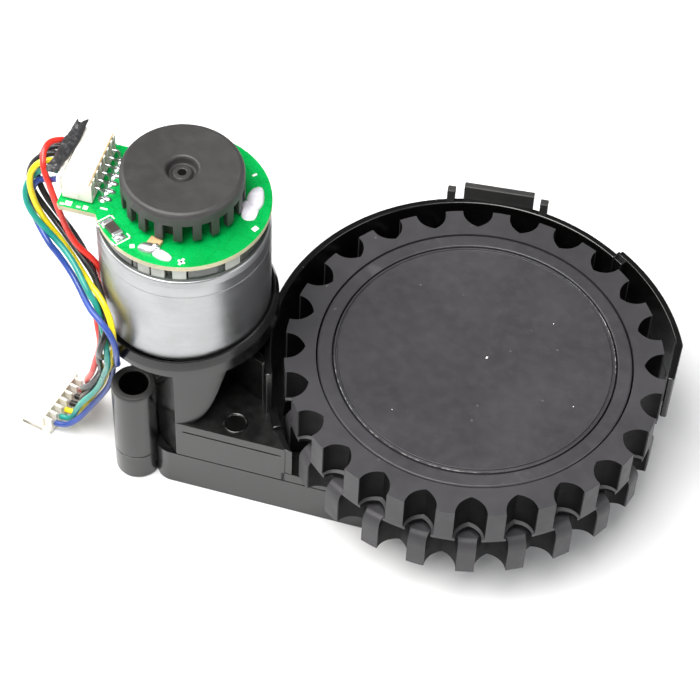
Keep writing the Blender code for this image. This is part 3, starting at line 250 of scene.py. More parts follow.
def metal(name, base, rough, brushed=None, tarnish=0.15, radius=0.0, fine_scale=3000.0, dark=None):
    """Plated or bare metal with fine lines along its surface and soft stains."""
    mat, nt, bsdf = new_material(name)
    vec = coords(nt)
    slow = noise_tex(nt, vec, 120.0, 4.0, 0.6)
    fine = noise_tex(nt, coords(nt, brushed) if brushed else vec, 1.0 if brushed else fine_scale, 4.0, 0.7)
    dark = dark or tuple(c * (1 - tarnish) for c in base)
    col = mix_colour(nt, remap(nt, slow, 0.35, 0.65, 0.0, 1.0, True), dark, base)
    col = mix_colour(nt, remap(nt, fine, 0.4, 0.75, 0.0, 0.25), col, tuple(c * 0.82 for c in base))
    nt.links.new(col, bsdf.inputs["Base Color"])
    nt.links.new(remap(nt, fine, 0.25, 0.75, rough - 0.06, rough + 0.10), bsdf.inputs["Roughness"])
    bsdf.inputs["Metallic"].default_value = 1.0
    normal = bump_chain(nt, [(slow, 0.10, 0.0001), (fine, 0.10, 0.00002)], radius)
    nt.links.new(normal, bsdf.inputs["Normal"])
    return mat


def pvc(name, base):
    """Wire insulation: glossy, with slow waves in its thickness and dulled patches."""
    mat, nt, bsdf = new_material(name)
    vec = coords(nt)
    slow = noise_tex(nt, vec, 180.0, 3.0, 0.6)
    fine = noise_tex(nt, vec, 2400.0, 3.0, 0.6)
    col = mix_colour(nt, remap(nt, slow, 0.3, 0.7, 0.0, 1.0, True), tuple(c * 0.84 for c in base), tuple(min(1.0, c * 1.12 + 0.004) for c in base))
    nt.links.new(col, bsdf.inputs["Base Color"])
    nt.links.new(remap(nt, slow, 0.3, 0.7, 0.24, 0.38), bsdf.inputs["Roughness"])
    bsdf.inputs["Coat Weight"].default_value = 0.25
    bsdf.inputs["Coat Roughness"].default_value = 0.15
    nt.links.new(bump_chain(nt, [(slow, 0.2, 0.0001), (fine, 0.06, 0.00002)]), bsdf.inputs["Normal"])
    return mat


# ------------------------------------------------------------------ mesh helpers
def arc(cx, cy, r, a0, a1, n):
    return [
        (cx + r * math.cos(math.radians(a0 + (a1 - a0) * i / n)), cy + r * math.sin(math.radians(a0 + (a1 - a0) * i / n)))
        for i in range(n + 1)
    ]


def circle(c, r, n):
    return arc(c[0], c[1], r, 0.0, 360.0 * (n - 1) / n, n - 1)


def hull(points):
    pts = sorted(set((round(x, 5), round(y, 5)) for x, y in points))

    def half(seq):
        out = []
        for p in seq:
            while len(out) > 1 and (
                (out[-1][0] - out[-2][0]) * (p[1] - out[-2][1]) - (out[-1][1] - out[-2][1]) * (p[0] - out[-2][0])
            ) <= 0:
                out.pop()
            out.append(p)
        return out[:-1]

    return half(pts) + half(reversed(pts))


def rounded(points, radius, seg=3, closed=True, least=18.0):
    """Corners of a flat outline turned into small arcs."""
    out = []
    n = len(points)
    for i, p in enumerate(points):
        if not closed and i in (0, n - 1):
            out.append(p)
            continue
        a, b, c = Vector(points[i - 1]), Vector(p), Vector(points[(i + 1) % n])
        u, v = a - b, c - b
        if u.length < 1e-6 or v.length < 1e-6:
            out.append(p)
            continue
        angle = math.degrees(u.angle(v))
        if 180.0 - angle < least:
            out.append(p)
            continue
        half = math.radians(angle) / 2
        cut = min(radius / math.tan(half), 0.46 * u.length, 0.46 * v.length)
        r = cut * math.tan(half)
        s, e = b + u.normalized() * cut, b + v.normalized() * cut
        mid = (u.normalized() + v.normalized())
        if mid.length < 1e-9:
            out.append(p)
            continue
        centre = b + mid.normalized() * (r / math.sin(half))
        s0, e0 = s - centre, e - centre
        for k in range(seg + 1):
            t = k / seg
            w = s0.lerp(e0, t)
            out.append(tuple(centre + w.normalized() * r))
    return out


def loft(rings, cap=True, closed=True, around=False):
    n = len(rings[0])
    verts = [tuple(p) for ring in rings for p in ring]
    faces = []
    m = len(rings)
    for i in range(m if around else m - 1):
        i2 = (i + 1) % m
        for j in range(n if closed else n - 1):
            k = (j + 1) % n
            faces.append((i * n + j, i * n + k, i2 * n + k, i2 * n + j))
    if cap and not around:
        faces.append(tuple(reversed(range(n))))
        faces.append(tuple(range((m - 1) * n, m * n)))
    return verts, faces


def lathe(profile, centre=(0.0, 0.0), n=128, a0=0.0, a1=360.0):
    """Turned solid from a closed section of (radius, height)."""
    full = abs(a1 - a0) >= 359.9
    if not full:
        rings = []
        for i in range(n + 1):
            a = math.radians(a0 + (a1 - a0) * i / n)
            rings.append([(centre[0] + r * math.cos(a), centre[1] + r * math.sin(a), z) for r, z in profile])
        return loft(rings)
    verts, faces, index = [], [], []
    for r, z in profile:
        if r < 1e-6:
            index.append([len(verts)])
            verts.append((centre[0], centre[1], z))
        else:
            start = len(verts)
            index.append(list(range(start, start + n)))
            for i in range(n):
                a = math.tau * i / n
                verts.append((centre[0] + r * math.cos(a), centre[1] + r * math.sin(a), z))
    pairs = list(zip(index, index[1:]))
    if min(r for r, z in profile) > 1e-6:
        pairs.append((index[-1], index[0]))
    for a, b in pairs:
        for i in range(n):
            k = (i + 1) % n
            if len(a) == 1 and len(b) == 1:
                continue
            if len(a) == 1:
                faces.append((a[0], b[i], b[k]))
            elif len(b) == 1:
                faces.append((a[i], b[0], a[k]))
            else:
                faces.append((a[i], b[i], b[k], a[k]))
    return verts, faces


def prism(outline, z0, z1):
    return loft([[(x, y, z0) for x, y in outline], [(x, y, z1) for x, y in outline]])


def ring_prism(outer, inner, z0, z1):
    """Hollow prism between two outlines with as many points each."""
    return loft(
        [[(x, y, z0) for x, y in outer], [(x, y, z1) for x, y in outer],
         [(x, y, z1) for x, y in inner], [(x, y, z0) for x, y in inner]],
        around=True,
    )


def block(centre, size, turn=0.0):
    sx, sy, sz = (s / 2 for s in size)
    ca, sa = math.cos(math.radians(turn)), math.sin(math.radians(turn))
    base = [(-sx, -sy), (sx, -sy), (sx, sy), (-sx, sy)]
    pts = [(centre[0] + x * ca - y * sa, centre[1] + x * sa + y * ca) for x, y in base]
    return prism(pts, centre[2] - sz, centre[2] + sz)


def catmull(points, per):
    pts = [Vector(p) for p in points]
    out = []
    for i in range(len(pts) - 1):
        p1, p2 = pts[i], pts[i + 1]
        p0 = pts[i - 1] if i else p1 * 2 - p2
        p3 = pts[i + 2] if i + 2 < len(pts) else p2 * 2 - p1
        for s in range(per):
            t = s / per
            out.append(0.5 * ((2 * p1) + (p2 - p0) * t + (2 * p0 - 5 * p1 + 4 * p2 - p3) * t * t + (3 * p1 - p0 - 3 * p2 + p3) * t ** 3))
    out.append(pts[-1])
    return out


def rod(points, radius, n=12):
    """Round rod along a path, with closed ends."""
    pts = [Vector(p) for p in points]
    rings = []
    side = None
    for i, p in enumerate(pts):
        t = (pts[min(i + 1, len(pts) - 1)] - pts[max(i - 1, 0)]).normalized()
        if side is None:
            side = t.orthogonal().normalized()
        side = (side - t * side.dot(t)).normalized()
        other = t.cross(side)
        r = radius[i] if isinstance(radius, (list, tuple)) else radius
        rings.append([p + (side * math.cos(math.tau * k / n) + other * math.sin(math.tau * k / n)) * r for k in range(n)])
    return loft(rings)


def blob(centre, size, turn=0.0, seed=0.0, rough=0.12, rings=14, n=24, flat=-0.35):
    """Pool of solder: a rounded mound with uneven sides, cut flat below."""
    ca, sa = math.cos(math.radians(turn)), math.sin(math.radians(turn))
    loops = []
    for i in range(1, rings):
        lat = -math.pi / 2 + math.pi * i / rings
        loop = []
        for k in range(n):
            lon = math.tau * k / n
            d = Vector((math.cos(lat) * math.cos(lon), math.cos(lat) * math.sin(lon), math.sin(lat)))
            w = 1.0 + rough * noise.noise(d * 1.7 + Vector((seed, seed * 1.3, 0.0))) * 2.0 + rough * 0.6 * noise.noise(d * 4.3 + Vector((0.0, seed, seed)))
            x, y, z = d.x * size[0] / 2 * w, d.y * size[1] / 2 * w, max(d.z, flat) * size[2] * w
            loop.append((centre[0] + x * ca - y * sa, centre[1] + x * sa + y * ca, centre[2] + z))
        loops.append(loop)
    return loft(loops)


class Piece:
    """One object made of closed shapes, each with its own material number and edge rounding."""

    def __init__(self, name):
        self.name = name
        self.bm = bmesh.new()

    def add(self, shape, mat=0, bevel=0.0, seg=2, angle=32.0, choose=None):
        verts, faces = shape
        mesh = bpy.data.meshes.new("shape")
        mesh.from_pydata([tuple(v) for v in verts], [], faces)
        bm = bmesh.new()
        bm.from_mesh(mesh)
        bmesh.ops.remove_doubles(bm, verts=bm.verts, dist=1e-5)
        bmesh.ops.recalc_face_normals(bm, faces=bm.faces)
        bm.to_mesh(mesh)
        bm.free()
        if bevel > 0:
            temp = bpy.data.objects.new("shape", mesh)
            bpy.context.scene.collection.objects.link(temp)
            mod = temp.modifiers.new("edges", "BEVEL")
            mod.width = bevel
            mod.segments = seg
            mod.limit_method = "ANGLE"
            mod.angle_limit = math.radians(angle)
            mod.miter_outer = "MITER_ARC"
            graph = bpy.context.evaluated_depsgraph_get()
            done = bpy.data.meshes.new_from_object(temp.evaluated_get(graph))
            bpy.data.objects.remove(temp, do_unlink=True)
            bpy.data.meshes.remove(mesh)
            mesh = done
        for poly in mesh.polygons:
            poly.material_index = choose(poly.center, poly.normal) if choose else mat
        self.bm.from_mesh(mesh)
        bpy.data.meshes.remove(mesh)
        return self

    def done(self, materials, body, replaces=(), slot=None, sharp=38.0, weighted=True):
        self.bm.transform(Matrix.Translation(Vector((OX * MM, OY * MM, 0.0))) @ Matrix.Scale(MM, 4))
        mesh = bpy.data.meshes.new(self.name)
        self.bm.to_mesh(mesh)
        self.bm.free()
        for m in materials:
            mesh.materials.append(m)
        mesh.shade_smooth()
        mesh.set_sharp_from_angle(angle=math.radians(sharp))
        level = [0] * len(mesh.edges)
        for poly in mesh.polygons:
            if abs(poly.normal.z) > 0.9995:
                poly.use_smooth = False
                for li in poly.loop_indices:
                    level[mesh.loops[li].edge_index] += 1
        for edge, count in zip(mesh.edges, level):
            if count == 1:
                edge.use_edge_sharp = True
        obj = bpy.data.objects.new(self.name, mesh)
        bpy.context.scene.collection.objects.link(obj)
        if weighted:
            mod = obj.modifiers.new("even_normals", "WEIGHTED_NORMAL")
            mod.keep_sharp = True
        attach(obj, body)
        if replaces:
            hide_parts(*replaces)
        return obj


# ------------------------------------------------------------------ materials
M = {}
M["shell"] = plastic("shell_plastic", (0.0024, 0.0022, 0.0021), 0.24, grain=0.035, radius=0.0, scuff=0.02, edge=0.18, specks=0.05, spec=0.72, wave=0.05, vary=0.45)
M["tyre"] = plastic("tyre_rubber_mat", (0.040, 0.0383, 0.0412), 0.50, grain=0.12, grain_scale=1800.0, edge=0.0, specks=0.12, scuff=0.03, spec=0.38)
# Lighter, duller copy of the shell plastic: painted light on the pivot tube's top rim and on the clip and guides
# behind the shroud.
M["matte"] = plastic("shell_painted_light_matte", (0.030, 0.0290, 0.0285), 0.50, grain=0.12, grain_scale=2200.0, edge=0.0, specks=0.04, spec=0.45)
# Near-black, dull copy of the tyre rubber: painted shade on the gap walls between the lugs and on the centre of the
# encoder cap.
M["valley"] = plastic("painted_shade_black", (0.0020, 0.0019, 0.0021), 0.55, grain=0.10, grain_scale=1500.0, edge=0.0, specks=0.0, scuff=0.0, spec=0.10)
M["hub"] = plastic("hub_plastic", (0.041, 0.0390, 0.0432), 0.40, grain=0.10, grain_scale=2200.0, edge=0.20, specks=0.10, scuff=0.05, spec=0.50)
M["cap"] = plastic("encoder_plastic", (0.035, 0.0330, 0.0325), 0.46, grain=0.22, grain_scale=2400.0, edge=0.0, spec=0.50)
M["white"] = plastic("nylon_white", (0.80, 0.775, 0.70), 0.38, grain=0.06, mottle=0.05, edge=0.0, specks=0.0, warm=(0.84, 0.79, 0.68))
M["tape"] = plastic("tape_vinyl", (0.030, 0.030, 0.032), 0.34, grain=0.10, grain_scale=900.0, edge=0.2)
M["gear"] = plastic("gear_acetal", (0.80, 0.78, 0.72), 0.40, grain=0.05, mottle=0.04, edge=0.0)
M["magnet"] = plastic("magnet_ferrite", (0.06, 0.06, 0.065), 0.65, grain=0.3, grain_scale=1500.0)
M["chip"] = plastic("chip_body", (0.045, 0.035, 0.030), 0.38, grain=0.1, grain_scale=4000.0, edge=0.1)
M["silk"] = plastic("silkscreen_ink", (0.86, 0.88, 0.84), 0.55, grain=0.2, grain_scale=5000.0, mottle=0.03, edge=0.0)
M["bell"] = plastic("bell_plastic_dark", (0.045, 0.052, 0.046), 0.16, grain=0.08, grain_scale=700.0, mottle=0.6, edge=0.2, coat=0.3)
# Pale plastic for the light sections of the end ring; its bar from -43 to -31 degrees is a painted glint.
M["bell_light"] = plastic("bell_plastic_pale_and_painted_glint", (0.34, 0.355, 0.32), 0.20, grain=0.08, grain_scale=900.0, mottle=0.45, edge=0.0, coat=0.3)
M["pcb_edge"] = plastic("board_edge", (0.50, 0.46, 0.30), 0.5, grain=0.3, grain_scale=3500.0, mottle=0.18, edge=0.0)
M["tan"] = plastic("paper_tan", (0.52, 0.36, 0.18), 0.55, grain=0.2, grain_scale=3000.0, mottle=0.2, edge=0.0)
M["can"] = metal("can_zinc", (0.425, 0.432, 0.438), 0.34, brushed=(90.0, 90.0, 500.0), tarnish=0.10)
M["steel"] = metal("steel_bright", (0.62, 0.62, 0.63), 0.28, tarnish=0.2, radius=0.0001)
M["tin"] = metal("tin_solder", (0.80, 0.80, 0.815), 0.31, tarnish=0.22, fine_scale=700.0)
M["brass"] = metal("brass_turned", (0.74, 0.54, 0.26), 0.30, tarnish=0.25)
M["copper"] = metal("copper_winding", (0.72, 0.34, 0.18), 0.34, brushed=(2600.0, 2600.0, 300.0), tarnish=0.2)


def board_green():
    """Solder mask over copper: slightly darker tracks below a glossy, mottled green."""
    mat, nt, bsdf = new_material("board_mask_green")
    vec = coords(nt)
    slow = noise_tex(nt, vec, 90.0, 3.0, 0.6)
    fine = noise_tex(nt, vec, 2600.0, 3.0, 0.6)
    brick = nt.nodes.new("ShaderNodeTexVoronoi")
    brick.feature = "DISTANCE_TO_EDGE"
    brick.distance = "MANHATTAN" if hasattr(brick, "distance") else brick.distance
    brick.inputs["Scale"].default_value = 210.0
    brick.inputs["Randomness"].default_value = 0.85
    nt.links.new(vec, brick.inputs["Vector"])
    track = remap(nt, brick.outputs["Distance"], 0.03, 0.07, 1.0, 0.0, True)
    col = mix_colour(nt, remap(nt, slow, 0.3, 0.7, 0.0, 1.0, True), (0.000, 0.300, 0.052), (0.001, 0.400, 0.080))
    col = mix_colour(nt, math_node(nt, "MULTIPLY", track, 0.28), col, (0.0, 0.22, 0.03))
    nt.links.new(col, bsdf.inputs["Base Color"])
    nt.links.new(remap(nt, fine, 0.3, 0.7, 0.22, 0.34), bsdf.inputs["Roughness"])
    bsdf.inputs["Specular IOR Level"].default_value = 0.30
    nt.links.new(bump_chain(nt, [(track, 0.12, 0.00003), (fine, 0.05, 0.00001)]), bsdf.inputs["Normal"])
    return mat


M["board"] = board_green()


def scuffed():
    """Rubbed rim line: pale where the plastic is worn, dark between."""
    mat, nt, bsdf = new_material("rim_scuff")
    vec = coords(nt)
    n1 = noise_tex(nt, vec, 900.0, 5.0, 0.75)
    n2 = noise_tex(nt, vec, 70.0, 3.0, 0.6)
    worn = math_node(nt, "MULTIPLY", remap(nt, n1, 0.46, 0.58, 0.0, 1.0, True), remap(nt, n2, 0.38, 0.58, 0.15, 1.0, True))
    nt.links.new(mix_colour(nt, worn, (0.05, 0.05, 0.052), (0.46, 0.455, 0.45)), bsdf.inputs["Base Color"])
    nt.links.new(remap(nt, n1, 0.3, 0.7, 0.35, 0.6), bsdf.inputs["Roughness"])
    nt.links.new(bump_chain(nt, [(n1, 0.3, 0.00004)]), bsdf.inputs["Normal"])
    return mat


M["scuff"] = scuffed()
M["solder"] = metal("solder_soft", (0.86, 0.86, 0.87), 0.36, tarnish=0.10, fine_scale=500.0, dark=(0.62, 0.62, 0.63))
M["glue"] = plastic("flux_lilac", (0.72, 0.70, 0.76), 0.30, grain=0.10, grain_scale=1200.0, mottle=0.16, edge=0.0, coat=0.3)
M["red"] = pvc("wire_red_pvc", (0.80, 0.030, 0.018))
M["black"] = pvc("wire_black_pvc", (0.012, 0.011, 0.012))
M["yellow"] = pvc("wire_yellow_pvc", (0.90, 0.72, 0.010))
M["green"] = pvc("wire_green_pvc", (0.010, 0.27, 0.22))
M["blue"] = pvc("wire_blue_pvc", (0.022, 0.060, 0.30))

# ------------------------------------------------------------------ wires
# middle line of each wire, the same points as in the CAD
ROUTES = {
    "red": [
        (-81.30, -1.60, 71.95), (-82.44, -2.89, 73.23), (-83.59, -4.47, 74.50), (-84.49, -6.25, 75.24), (-84.80, -8.20, 74.96),
        (-84.43, -9.99, 73.89), (-83.69, -11.22, 72.35), (-82.77, -11.96, 70.34), (-81.97, -12.42, 67.95), (-81.01, -12.86, 65.00),
        (-80.10, -13.13, 62.10), (-79.16, -13.39, 59.47), (-77.73, -13.84, 57.19), (-76.13, -14.05, 55.45), (-74.56, -14.12, 53.97),
        (-73.24, -14.13, 51.86), (-72.79, -14.36, 49.22), (-72.64, -15.70, 47.14), (-72.02, -19.76, 44.89), (-71.55, -20.87, 42.69),
        (-71.20, -21.26, 40.24), (-71.17, -21.19, 37.61), (-71.49, -20.93, 34.93), (-72.07, -20.68, 32.27), (-72.73, -20.55, 29.63),
        (-73.31, -20.44, 27.04), (-74.01, -20.07, 24.54), (-74.85, -19.32, 22.16), (-75.71, -18.26, 19.85), (-76.35, -17.16, 17.47),
        (-76.75, -16.09, 15.02), (-77.04, -14.95, 12.52), (-77.27, -13.73, 9.95), (-77.49, -12.46, 7.33), (-77.90, -11.24, 4.86),
        (-78.96, -10.19, 2.96), (-81.30, -9.47, 2.20),
    ],
    "black_1": [
        (-81.30, -3.60, 71.95), (-83.99, -3.68, 71.77), (-86.08, -4.31, 70.59), (-87.29, -5.28, 68.76), (-87.45, -6.41, 66.61),
        (-86.66, -7.50, 64.40), (-85.20, -8.45, 62.26), (-83.38, -9.24, 60.27), (-81.45, -9.98, 58.40), (-79.54, -10.79, 56.62),
        (-77.71, -11.78, 54.91), (-75.99, -13.00, 53.25), (-74.42, -14.47, 51.60), (-73.06, -16.15, 49.92), (-71.94, -18.01, 48.21),
        (-71.13, -19.82, 46.37), (-70.59, -21.28, 44.29), (-70.28, -22.10, 41.96), (-70.33, -22.41, 39.42), (-70.75, -22.42, 36.78),
        (-71.25, -22.22, 34.12), (-71.39, -21.77, 31.50), (-71.53, -21.00, 28.98), (-71.95, -20.10, 26.52), (-72.62, -19.44, 24.05),
        (-73.52, -19.15, 21.60), (-74.66, -19.00, 19.27), (-76.02, -18.54, 17.16), (-77.24, -17.57, 15.13), (-77.90, -16.37, 12.85),
        (-78.03, -15.20, 10.25), (-78.04, -14.06, 7.51), (-78.33, -13.00, 4.92), (-79.38, -12.09, 2.97), (-81.74, -11.42, 2.20),
    ],
    "black_2": [
        (-81.30, -5.60, 71.95), (-83.97, -5.58, 71.83), (-86.30, -5.97, 70.73), (-87.95, -6.59, 68.91), (-88.67, -7.27, 66.66),
        (-88.39, -7.94, 64.30), (-87.24, -8.59, 62.09), (-85.49, -9.29, 60.19), (-83.50, -10.22, 58.57), (-81.45, -11.36, 57.17),
        (-79.40, -12.60, 55.90), (-77.38, -13.83, 54.65), (-75.43, -15.00, 53.30), (-73.60, -16.19, 51.82), (-72.01, -17.64, 50.20),
        (-70.59, -19.40, 48.56), (-69.28, -21.22, 46.91), (-68.70, -23.07, 45.15), (-68.87, -24.63, 43.21), (-69.43, -25.40, 41.01),
        (-69.79, -25.10, 38.68), (-69.83, -23.90, 36.34), (-69.89, -22.33, 34.08), (-70.19, -20.79, 31.79), (-70.64, -19.51, 29.44),
        (-71.21, -18.53, 27.02), (-71.95, -17.88, 24.57), (-72.86, -17.55, 22.09), (-73.87, -17.52, 19.59), (-74.83, -17.67, 17.07),
        (-75.88, -17.74, 14.66), (-77.07, -17.44, 12.40), (-78.05, -16.68, 10.09), (-78.52, -15.72, 7.53), (-78.87, -14.78, 4.96),
        (-79.80, -13.97, 2.95), (-82.18, -13.37, 2.20),
    ],
    "yellow": [
        (-81.30, -7.60, 71.95), (-84.02, -7.51, 71.88), (-86.28, -8.33, 70.98), (-87.46, -9.35, 69.05), (-87.56, -10.06, 66.32),
        (-87.02, -10.41, 63.35), (-86.09, -10.63, 60.53), (-84.81, -10.82, 58.05), (-83.19, -11.17, 55.90), (-81.34, -11.83, 54.10),
        (-79.39, -12.93, 52.68), (-77.43, -14.46, 51.71), (-75.48, -16.27, 51.19), (-73.50, -18.11, 50.88), (-71.36, -19.66, 50.33),
        (-69.54, -21.20, 49.22), (-68.16, -22.57, 47.48), (-67.34, -23.57, 45.23), (-67.10, -23.98, 42.65), (-67.25, -23.87, 40.00),
        (-67.79, -23.58, 37.41), (-68.36, -22.95, 34.88), (-68.89, -21.99, 32.37), (-69.58, -21.03, 29.90), (-70.32, -20.19, 27.38),
        (-71.07, -19.44, 24.83), (-71.79, -18.70, 22.29), (-72.46, -17.98, 19.75), (-73.30, -17.43, 17.26), (-74.38, -17.16, 14.82),
        (-75.57, -17.15, 12.36), (-76.74, -17.20, 9.86), (-77.87, -17.05, 7.37), (-78.93, -16.59, 4.99), (-80.30, -15.94, 3.08),
        (-82.63, -15.32, 2.20),
    ],
    "green": [
        (-81.30, -9.60, 71.95), (-83.73, -9.13, 71.40), (-85.51, -8.44, 69.66), (-87.21, -8.29, 67.71), (-88.44, -8.91, 65.75),
        (-88.79, -9.93, 63.74), (-88.14, -10.93, 61.67), (-86.68, -11.71, 59.62), (-84.71, -12.29, 57.73), (-82.55, -12.94, 56.08),
        (-80.39, -13.90, 54.74), (-78.32, -15.25, 53.69), (-76.39, -16.95, 52.81), (-74.62, -18.74, 51.87), (-72.99, -20.17, 50.59),
        (-71.47, -20.94, 48.80), (-70.56, -21.76, 46.58), (-69.77, -22.70, 44.18), (-68.95, -23.71, 41.81), (-68.43, -24.63, 39.53),
        (-68.34, -24.94, 37.21), (-68.59, -24.51, 34.83), (-69.16, -23.63, 32.39), (-69.89, -22.60, 29.91), (-70.65, -21.63, 27.41),
        (-71.37, -20.79, 24.89), (-72.08, -20.12, 22.38), (-72.91, -19.63, 19.91), (-73.95, -19.36, 17.50), (-75.23, -19.23, 15.17),
        (-76.61, -19.12, 12.84), (-77.86, -18.92, 10.40), (-78.84, -18.58, 7.81), (-79.66, -18.18, 5.24), (-80.80, -17.78, 3.14),
        (-83.07, -17.27, 2.20),
    ],
    "blue": [
        (-81.30, -11.60, 71.95), (-83.18, -10.38, 69.76), (-85.23, -8.80, 67.50), (-86.59, -8.62, 66.42), (-87.48, -9.04, 64.68),
        (-87.95, -9.42, 62.02), (-87.73, -10.00, 59.49), (-86.37, -11.31, 57.57), (-83.07, -14.19, 55.67), (-81.19, -14.82, 53.68),
        (-79.29, -15.69, 51.91), (-77.42, -16.91, 50.47), (-75.62, -18.55, 49.47), (-73.83, -20.50, 48.87), (-71.90, -22.38, 48.40),
        (-69.76, -23.73, 47.67), (-67.95, -24.66, 46.35), (-66.80, -25.15, 44.34), (-66.35, -25.22, 41.83), (-66.40, -24.85, 39.10),
        (-66.71, -24.05, 36.38), (-67.13, -22.74, 33.79), (-67.82, -21.20, 31.36), (-68.82, -19.79, 29.04), (-69.70, -18.83, 26.72),
        (-70.13, -18.44, 24.31), (-70.55, -18.32, 21.78), (-71.23, -18.24, 19.21), (-72.22, -18.12, 16.68), (-73.40, -18.04, 14.21),
        (-74.71, -18.15, 11.79), (-76.10, -18.48, 9.38), (-77.55, -18.96, 7.00), (-79.16, -19.40, 4.79), (-81.10, -19.53, 3.07),
        (-83.51, -19.22, 2.20),
    ],
}

WIRE_R = 0.62


def wire(key, points):
    name = "lead_" + key
    curve = bpy.data.curves.new(name, "CURVE")
    curve.dimensions = "3D"
    curve.bevel_depth = WIRE_R * MM
    curve.bevel_resolution = 5
    curve.resolution_u = 5
    curve.use_fill_caps = True
    spline = curve.splines.new("BEZIER")
    spline.bezier_points.add(len(points) - 1)
    pts = [world(p) for p in points]
    for i, (bp, p) in enumerate(zip(spline.bezier_points, pts)):
        a, b = pts[max(i - 1, 0)], pts[min(i + 1, len(pts) - 1)]
        step = (b - a) / (6.0 if 0 < i < len(pts) - 1 else 3.0)
        bp.handle_left_type = bp.handle_right_type = "FREE"
        bp.co = p
        bp.handle_left = p - step
        bp.handle_right = p + step
    obj = bpy.data.objects.new(name, curve)
    bpy.context.scene.collection.objects.link(obj)
    colour = key.split("_")[0]
    curve.materials.append(M[colour])
    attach(obj, "gearbox")
    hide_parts("wire_" + key)
    length = sum((q - p).length for p, q in zip(pts, pts[1:]))
    return obj, pts[0], length


for key, points in ROUTES.items():
    wire(key, points)

# ------------------------------------------------------------------ tyre
LUGS, PITCH = 24, 15.0


def lug_profile(phase, tip=38.0, root=33.8, half=3.15):
    """Radius round one row: flat tips and pointed arches with hollow flanks between."""
    out = []
    for k in range(LUGS):
        mid = phase + k * PITCH
        valley = []
        for i in range(15):
            t = i / 14.0
            # half width of the gap from the mouth down to the ridge
            w = half * (1.0 - t ** 2.6) ** 0.80 * (1.0 - 0.10 * t)
            r = tip + (root - tip) * t
            valley.append((r, math.degrees(w / r)))
        left = [(r, mid - PITCH / 2 + a) for r, a in reversed(valley)]
        right = [(r, mid + PITCH / 2 - a) for r, a in valley]
        a_l, a_r = left[-1][1], right[0][1]
        out += left
        out += [(tip, a_l + (a_r - a_l) * s / 4) for s in range(1, 4)]
        out += right[:-1]
    return out


def polar_ring(profile, inner, z0, z1):
    outer = [(r * math.cos(math.radians(a)), r * math.sin(math.radians(a))) for r, a in profile]
    bore = [(inner * math.cos(math.radians(a)), inner * math.sin(math.radians(a))) for r, a in profile]
    return ring_prism(outer, bore, z0, z1)


def lug_row(phase, steps):
    """Row of lugs through steps of (height, largest radius, root radius, half width of the gap)."""
    rings = []
    for z, limit, root, half in steps:
        prof = lug_profile(phase, 38.0, root, half)
        rings.append([(min(r, limit) * math.cos(math.radians(a)), min(r, limit) * math.sin(math.radians(a)), z) for r, a in prof])
    bore = [[(31.7 * math.cos(math.radians(a)), 31.7 * math.sin(math.radians(a)), z) for r, a in lug_profile(phase)] for z in (steps[-1][0], steps[0][0])]
    return loft(rings + bore, around=True)


def gap_shade_mask(centre, normal):
    """1 on the upright walls between the lugs, which take the near-black material as painted shade; 0 on the tread,
    the faces and the bore, and on a thin outward-facing strip along each gap's ridge, which keeps the tread material
    as a painted highlight.
    """
    r = math.hypot(centre[0], centre[1])
    out = (centre[0] * normal[0] + centre[1] * normal[1]) / max(r, 1e-6)
    if abs(normal[2]) > 0.35 or r < 33.0 or r > 37.75:
        return 0
    if r < 33.93 and out > 0.5:
        return 0
    return 1 if out > -0.2 else 0


tyre = Piece("wheel_tyre")
# The gap walls take the near-black material as painted shade; a thin strip along each gap's ridge stays in tread
# rubber as a painted highlight.
tyre.add(lug_row(5.4, [(24.05, 37.9, 34.75, 2.60), (24.75, 37.9, 34.70, 2.62), (25.0, 38.0, 33.85, 3.12), (33.5, 38.0, 33.8, 3.15)]), 0, 0.26, 3, 34.0, gap_shade_mask)
shoulder = [(22.7 - 2.9 * (1 - math.cos(math.radians(k * 15.0))), 36.1 + 1.9 * math.sin(math.radians(k * 15.0))) for k in range(7)]
rows = [(13.5, 38.0, 33.8, 3.15)] + [(z, r, 33.8, 3.15) for z, r in reversed(shoulder)]
tyre.add(lug_row(5.4 + PITCH / 2, rows), 0, 0.24, 3, 34.0, gap_shade_mask)
tyre.add(lathe(rounded([(31.75, 26.0), (33.2, 26.0), (33.2, 24.6), (34.0, 24.4), (34.0, 23.6), (33.1, 23.3), (33.1, 21.5), (31.75, 21.5)], 0.25, 3), n=192), 0)
tyre.done([M["tyre"], M["valley"]], "wheel", ["tyre"], "tyre_rubber", sharp=42.0)

# ------------------------------------------------------------------ hub and cap
hub = Piece("wheel_hub_body")
hub.add(lathe(rounded([
    (28.5, 33.42), (28.75, 33.5), (31.15, 33.5), (31.4, 33.25), (31.4, 13.7), (29.6, 13.7), (29.6, 24.4),
    (5.6, 24.4), (5.6, 14.0), (2.8, 14.0), (2.8, 28.0), (5.6, 28.0), (5.6, 26.2),
    (26.4, 26.2), (26.4, 31.6), (28.5, 31.6)], 0.22, 3), n=192), 0)
for k in range(6):
    hub.add(block((15.9 * math.cos(k * math.pi / 3), 15.9 * math.sin(k * math.pi / 3), 27.7), (22.0, 1.4, 4.0), k * 60.0), 0, 0.2)
    hub.add(block((17.4 * math.cos((k + 0.5) * math.pi / 3), 17.4 * math.sin((k + 0.5) * math.pi / 3), 22.6), (24.0, 1.4, 4.4), k * 60.0 + 30.0), 0, 0.2)
hub.done([M["hub"]], "wheel", ["wheel_hub"], "hub_black")

